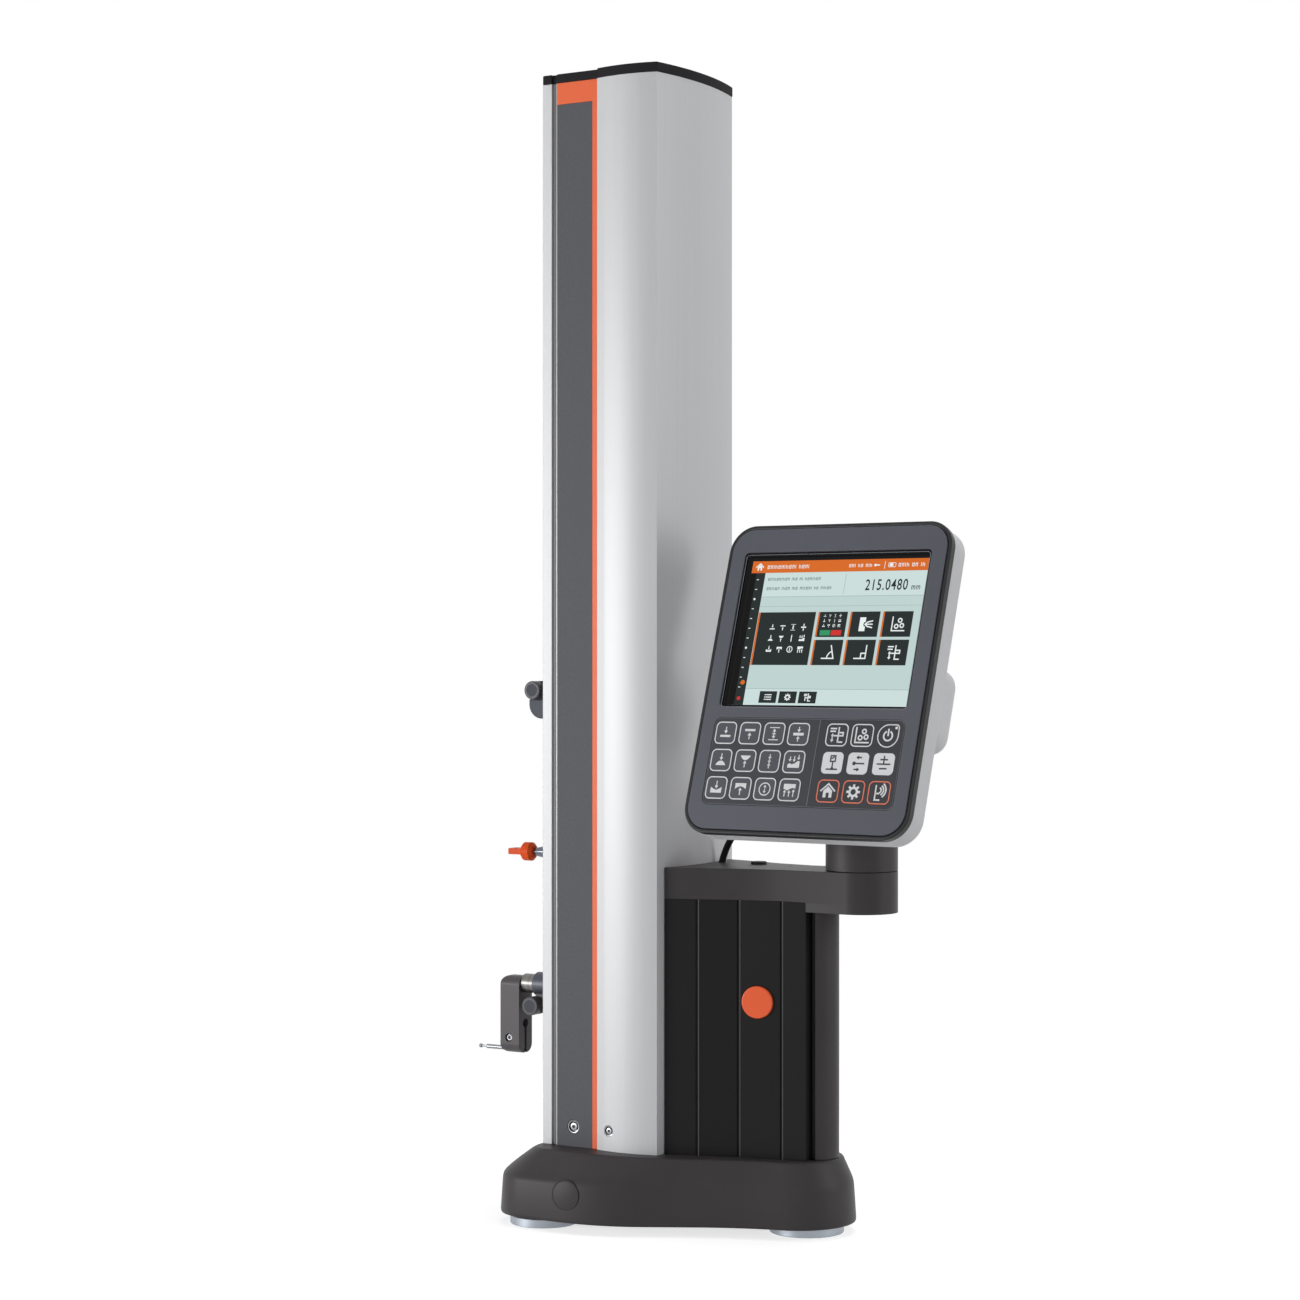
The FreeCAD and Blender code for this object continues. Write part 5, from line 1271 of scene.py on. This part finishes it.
def small_print(drawing, left, top, words, tall):
    """Marks like lines of small print that says nothing: so many letters to each word."""
    x, y = across(left), down(top)
    wide, stem = tall * 0.62, tall * 0.17
    letter = 0
    for count in words:
        for _ in range(count):
            kind = (letter * 5 + 2) % 4
            drawing.bar(x, y - tall, x + stem, y)
            if kind:
                drawing.bar(x + wide - stem, y - tall, x + wide, y - tall * (0.0 if kind > 1 else 0.3))
                drawing.bar(x + stem, y - tall * 0.38, x + wide - stem, y - tall * 0.22)
            if kind == 2:
                drawing.bar(x + stem, y - tall, x + wide - stem, y - tall * 0.84)
            x += wide + stem * 1.7 if kind else stem * 2.7
            letter += 1
        x += wide


def screen_ground():
    """The lit ground with its two paler bands."""
    screen_bars("screen_ground", SCREEN_GROUND, GROUND_LAYER, (0.0, 0.0, 1.0, 1.0))
    screen_bars(
        "screen_pale_band", SCREEN_PALE_GROUND, BAND_LAYER,
        (FIELD_LEFT, FIELD_TOP, 1.0, READOUT_END), (FIELD_LEFT, FOOT_START, 1.0, 1.0),
    )


def screen_colours():
    """The header, the orange edges of the tiles, and the marker on the scale strip."""
    orange = Drawing("screen_orange_parts", SCREEN_ORANGE, COLOUR_LAYER)
    screen_bar(orange, 0.0, 0.0, 1.0, HEADER_END)
    left, top, _, low = BIG_TILE
    screen_bar(orange, FIELD_LEFT, top, left, low)
    for left, top in SMALL_TILES:
        screen_bar(orange, left, top, left + TILE_EDGE, top + SMALL_TILE_HEIGHT)
    left, top, radius = MARKER
    orange.disc(across(left), down(top), radius)
    orange.area([(across(left), down(top)) for left, top in MARKER_TIP])
    orange.done()


def screen_tiles():
    """The dark tiles and the scale strip."""
    bars = [(0.0, HEADER_END, STRIP_END, 1.0), BIG_TILE]
    for left, top in SMALL_TILES:
        bars.append((left + TILE_EDGE, top, left + SMALL_TILE_WIDTH, top + SMALL_TILE_HEIGHT))
    for left in FOOT_TILES:
        bars.append((left, FOOT_TILE_TOP, left + FOOT_TILE_WIDTH, FOOT_TILE_LOW))
    screen_bars("screen_tiles", SCREEN_DARK, TILE_LAYER, *bars)
    screen_bars("screen_scale_strip", SCREEN_BLACK, COLOUR_LAYER, (0.0, HEADER_END, STRIP_DARK_END, 1.0))


def screen_lines():
    """The thin rules of the field, and its two lines of small print."""
    screen_bars("screen_lines", SCREEN_LINE, RULE_LAYER, *FIELD_RULES)
    words = Drawing("screen_small_print", SCREEN_PRINT, RULE_LAYER)
    for print_line in FIELD_PRINT:
        small_print(words, *print_line)
    words.done()


def header_signs(bright):
    """The home sign, marks like words, a key, a rule and a cell."""
    left, top, *size = HOME_SIGN
    draw_symbol(bright, "home", across(left), down(top), *size)
    for print_line in HEADER_PRINT:
        small_print(bright, *print_line)
    left, top, radius = KEY_SIGN_BOW
    bright.disc(across(left), down(top), radius)
    left, top, *size = CELL
    bright.rounded_frame(across(left), down(top), *size)
    for bar in (KEY_SIGN_BLADE, HEADER_RULE, CELL_CHARGE):
        screen_bar(bright, *bar)


def scale_signs(bright):
    """The marks down the scale strip, every fifth one a dot."""
    left, right, half = SCALE_MARK
    middle, radius = SCALE_DOT
    for step in range(SCALE_MARKS):
        y = SCALE_START + step * SCALE_PITCH
        if step % 5 == 2:
            bright.disc(across(middle), down(y), radius)
        else:
            screen_bar(bright, left, y - half, right, y + half)


def tile_signs(bright):
    """The symbols on the tiles. The big tile and the first small one show the left keys'."""
    for rows, (left, top), (right, below), size in SYMBOL_GRIDS:
        for row, names in enumerate(rows):
            for column, name in enumerate(names):
                if name:
                    draw_symbol(bright, name, across(left + right * column), down(top + below * row), *size)


def screen_signs():
    """All that is pale on the screen, and its green and red flags."""
    bright = Drawing("screen_symbols", SCREEN_PALE, SIGN_LAYER)
    header_signs(bright)
    scale_signs(bright)
    tile_signs(bright)
    bright.done()
    green = Drawing("screen_mark_green", SCREEN_GREEN, FLAG_LAYER)
    red = Drawing("screen_mark_red", SCREEN_RED, FLAG_LAYER)
    for flag, left in ((green, GREEN_LEFT), (red, RED_LEFT)):
        screen_bar(flag, left, FLAG_TOP, left + FLAG_WIDTH, FLAG_LOW)
    left, top, *size = STRIP_END_SIGN
    red.plate(across(left), down(top), *size)
    green.done()
    red.done()


def figures(words, size, x, y):
    """Narrow plain figures as a flat mesh, ending at x."""
    text = bpy.data.curves.new("figures", "FONT")
    text.body = words
    text.size = size
    text.align_x = "RIGHT"
    text.resolution_u = 4
    text.offset = FIGURE_WEIGHT * size
    text.space_character = FIGURE_SPACE
    mesh = plain_mesh(add_object("figures", text))
    narrow = Matrix.Diagonal((FIGURE_WIDTH, 1, 1, 1))
    mesh.transform(Matrix.Translation((x, y, 0)) @ narrow)
    return mesh


def screen_readout():
    """The measured height and its unit."""
    shape = bmesh.new()
    for words, size, right in ((READOUT, READOUT_SIZE, READOUT_RIGHT), ("mm", UNIT_SIZE, UNIT_RIGHT)):
        mesh = figures(words, size, across(right), down(READOUT_LINE))
        shape.from_mesh(mesh)
        bpy.data.meshes.remove(mesh)
    place = display_place() @ Matrix.Translation((0, 0, SIGN_LAYER))
    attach(from_bmesh("screen_readout", shape, SCREEN_DARK, place), "display")


def window_edge():
    """The light that catches on the edge of the face's window."""
    left, top, right, low = WINDOW
    x, y = across((left + right) / 2), down((top + low) / 2)
    width, height = SCREEN_WIDTH * (right - left), SCREEN_HEIGHT * (low - top)
    # A painted highlight, drawn in edge ink.
    edge = Drawing("window_edge_light", EDGE_INK_AND_HIGHLIGHT, WINDOW_LAYER)
    edge.rounded_frame(x, y, width, height, WINDOW_CORNER, WINDOW_LINE)
    edge.done()


def make_screen():
    """The picture on the screen, layer by layer."""
    screen_ground()
    screen_colours()
    screen_tiles()
    screen_lines()
    screen_signs()
    screen_readout()
    window_edge()


# Faces of the round knobs

# Their profiles: share of the knob's radius, and height in millimetres.
KNOB_DISC = [(0, 0.06), (0.70, 0.06), (0.71, -0.5), (0, -0.5)]
KNOB_LIP = [(0, 0.04), (0.71, 0.04), (0.72, 0.18), (0.77, 0.18), (0.79, -0.05), (0.79, -0.5), (0, -0.5)]
KNOB_FACE_SINK = 0.02


def make_knob_faces():
    """A turned disc with a slim bright lip, let into the face of each round knob."""
    for name, node in (("clamp_knob_face", "shaft_clamp_knob"), ("upper_knob_face", "upper_knob")):
        low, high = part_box(node)
        centre = (low + high) / 2
        radius = (high.x - low.x) / 2 / MM
        spot = Matrix.Translation((centre.x, low.y + KNOB_FACE_SINK * MM, centre.z))
        place = spot @ Matrix.Rotation(math.radians(90), 4, "X")
        for kind, profile, finish in (("", KNOB_DISC, KNOB_FACE), ("_lip", KNOB_LIP, BLUE_STEEL)):
            shape = turned_shape([(radius * share, height) for share, height in profile])
            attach(from_bmesh(name + kind, shape, finish, place), body_of_node(node))


# Cable

CABLE_ROUTE = [
    (-8.6, 23.4, 306.0),
    (-5.5, 23.0, 319.0),
    (4.5, 21.0, 337.5),
    (24.0, 16.0, 354.0),
    (52.0, 6.4, 371.0),
    (80.0, -3.4, 382.0),
    (104.0, -9.85, 386.0),
    (125.2, -11.15, 386.0),
]
CABLE_RADIUS = 3.0


def cable_curve(name, bevel):
    """The route as a smooth curve, bare or with a round section, as a mesh."""
    curve = bpy.data.curves.new(name, "CURVE")
    curve.dimensions = "3D"
    curve.resolution_u = 16
    curve.bevel_depth = bevel
    curve.bevel_resolution = 5
    curve.use_fill_caps = bevel > 0
    spline = curve.splines.new("NURBS")
    spline.points.add(len(CABLE_ROUTE) - 1)
    for point, (x, y, z) in zip(spline.points, CABLE_ROUTE):
        point.co = (x * MM, y * MM, z * MM, 1)
    spline.order_u = 3
    spline.use_endpoint_u = True
    return plain_mesh(add_object(name, curve))


def make_cable():
    """The display cable, as a round tube along its route."""
    path = [tuple(vertex.co) for vertex in cable_curve("cable_line", 0.0).vertices]
    mesh = cable_curve("cable_tube", CABLE_RADIUS * MM)
    mesh.shade_smooth()
    piece = new_piece("display_lead", mesh, RUBBER)
    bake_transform(piece)
    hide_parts("display_cable")


# All CAD nodes

# Nodes that get broken edges: finish, width of the edge in millimetres, and its segments.
SOFT_EDGES = {
    "front_frame": (PALE_FRAME, 0.8, 2),
    "bright_strips": (BRIGHT, 0.3, 2),
    "side_panels": (GRAINED, 0.3, 2),
    "orange_trims": (ORANGE_PAINT, 0.35, 2),
    "rear_cover": (SILVER, 1.2, 3),
    "top_cap_front": (CAP, 0.9, 3),
    "top_cap_rear": (CAP, 0.9, 3),
    "grip_shell_left": (GRIP, 0.35, 2),
    "grip_shell_right": (GRIP, 0.35, 2),
    "grip_handle": (SATIN, 0.6, 2),
    "display_arm": (ARM, 0.9, 3),
    "swivel_post": (SATIN, 0.5, 2),
    "arm_socket": (BLACK, 0.7, 3),
    "float_button": (ORANGE_PLASTIC, 1.1, 4),
    "display_rim": (RIM, 1.1, 3),
    "face_plate": (FACE, 0.45, 2),
    "display_shell": (SHELL, 0.4, 2),
    "keypad_sheet": (FILM, 0.2, 2),
    "shaft_hub": (BLUE_STEEL, 0.8, 3),
    "probe_shaft": (SHAFT, 0.5, 2),
    "slider_arms": (HOLDER, 1.2, 3),
    "upper_lug": (LUG, 1.0, 3),
    "probe_holder": (HOLDER, 1.0, 3),
    "shaft_clamp_knob": (HOLDER, 0.9, 3),
    "upper_knob": (HOLDER, 0.9, 3),
    "lock_boss": (CHROME, 0.4, 2),
    "lock_knob": (LOCK_ORANGE, 1.9, 6),
    "holder_screw": (PIN_STEEL, 0.2, 2),
    "air_pads": (FOOT, 0.8, 2),
}

# Nodes that keep their own mesh.
REPAINTED = [
    ("touch_glass lcd_module", GLASS),
    ("stylus locating_pin", PIN_STEEL),
    ("hinge_pin button_spring", STEEL),
    ("slider_plate", BLUE_STEEL),
    ("column_spine guide_rail linear_scale guide_blocks", MACHINED),
    ("panel_brackets bearing_blocks top_pulley drive_pulley", MACHINED),
    ("belt_clamp air_pump drive_motor", ALLOY),
    ("base_casting counterweight", IRON),
    ("main_board display_board", BOARD),
    ("read_head float_switch battery_pack drive_belt", BLACK),
]


def dress():
    """Gives every CAD node its finish, on a softened copy or on the node itself."""
    for node, look in SOFT_EDGES.items():
        softened(node, *look)
    for nodes, finish in REPAINTED:
        for node in nodes.split():
            give_finish(frame["nodes"][node].data, finish)


# Light, floor and camera


def make_sky():
    """White where it is seen, and a plainer light on the object."""
    scene = bpy.context.scene
    scene.world = bpy.data.worlds.new("studio")
    scene.world.use_nodes = True
    maker = NodeMaker(scene.world.node_tree)
    level = maker.seen() * (1 - SKY_LEVEL) + SKY_LEVEL
    sky = maker.part("Background", 0, None, {"Color": WHITE, "Strength": level})
    maker.node("OutputWorld", None, {0: sky})


def make_lamps():
    """Three broad area lamps."""
    for name, (place, aim, size, power) in LAMPS.items():
        light = bpy.data.lights.new(name, "AREA")
        light.shape = "RECTANGLE"
        light.size, light.size_y = size
        light.energy = power
        holder = add_object(name, light)
        holder.location = place
        holder.rotation_euler = (Vector(aim) - Vector(place)).to_track_quat("-Z", "Y").to_euler()


def floor_finish():
    """White where it is seen, with the object's own shadow near it."""
    paint = Paint("pale_floor")
    seen = paint.seen()
    distance = paint.part("VectorMath", "Value", {"operation": "LENGTH"}, {0: paint.place})
    far = paint.part("MapRange", 0, None, {
        "Value": distance, "From Min": SHADOW_FADES_FROM, "From Max": SHADOW_ENDS,
    })
    matte = paint.part("BsdfDiffuse", 0, None, {"Color": FLOOR_GREY})
    glow = paint.part("Emission", 0, None, {"Color": WHITE, "Strength": FLOOR_GLOW})
    white = paint.part("Emission", 0, None, {"Color": WHITE, "Strength": 1.0})
    lifted = paint.part("AddShader", 0, None, {0: matte, 1: glow})
    near = paint.part("MixShader", 0, None, {0: seen, 1: matte, 2: lifted})
    surface = paint.part("MixShader", 0, None, {0: far * seen, 1: near, 2: white})
    paint.node("OutputMaterial", None, {0: surface})
    return paint.material


def make_floor():
    """A white floor that keeps a soft shadow of the object."""
    shape = bmesh.new()
    bmesh.ops.create_grid(shape, x_segments=1, y_segments=1, size=FLOOR_HALF)
    floor = from_bmesh("floor", shape, floor_finish())


def make_camera():
    """The camera and the plain colour setting of the view."""
    scene = bpy.context.scene
    camera = bpy.data.cameras.new("camera")
    camera.lens = LENS
    camera.sensor_width = SENSOR
    camera.clip_start = CAMERA_NEAR
    camera.clip_end = CAMERA_FAR
    holder = add_object("camera", camera)
    holder.location = CAMERA_PLACE
    holder.rotation_euler = (math.radians(90), 0, math.radians(CAMERA_TURN))
    scene.camera = holder
    scene.view_settings.view_transform = "Standard"


make_camera()
make_cable()
make_base()
make_plugs()
make_screws()
dress()
make_knob_faces()
make_keypad()
make_screen()
make_floor()
make_sky()
make_lamps()
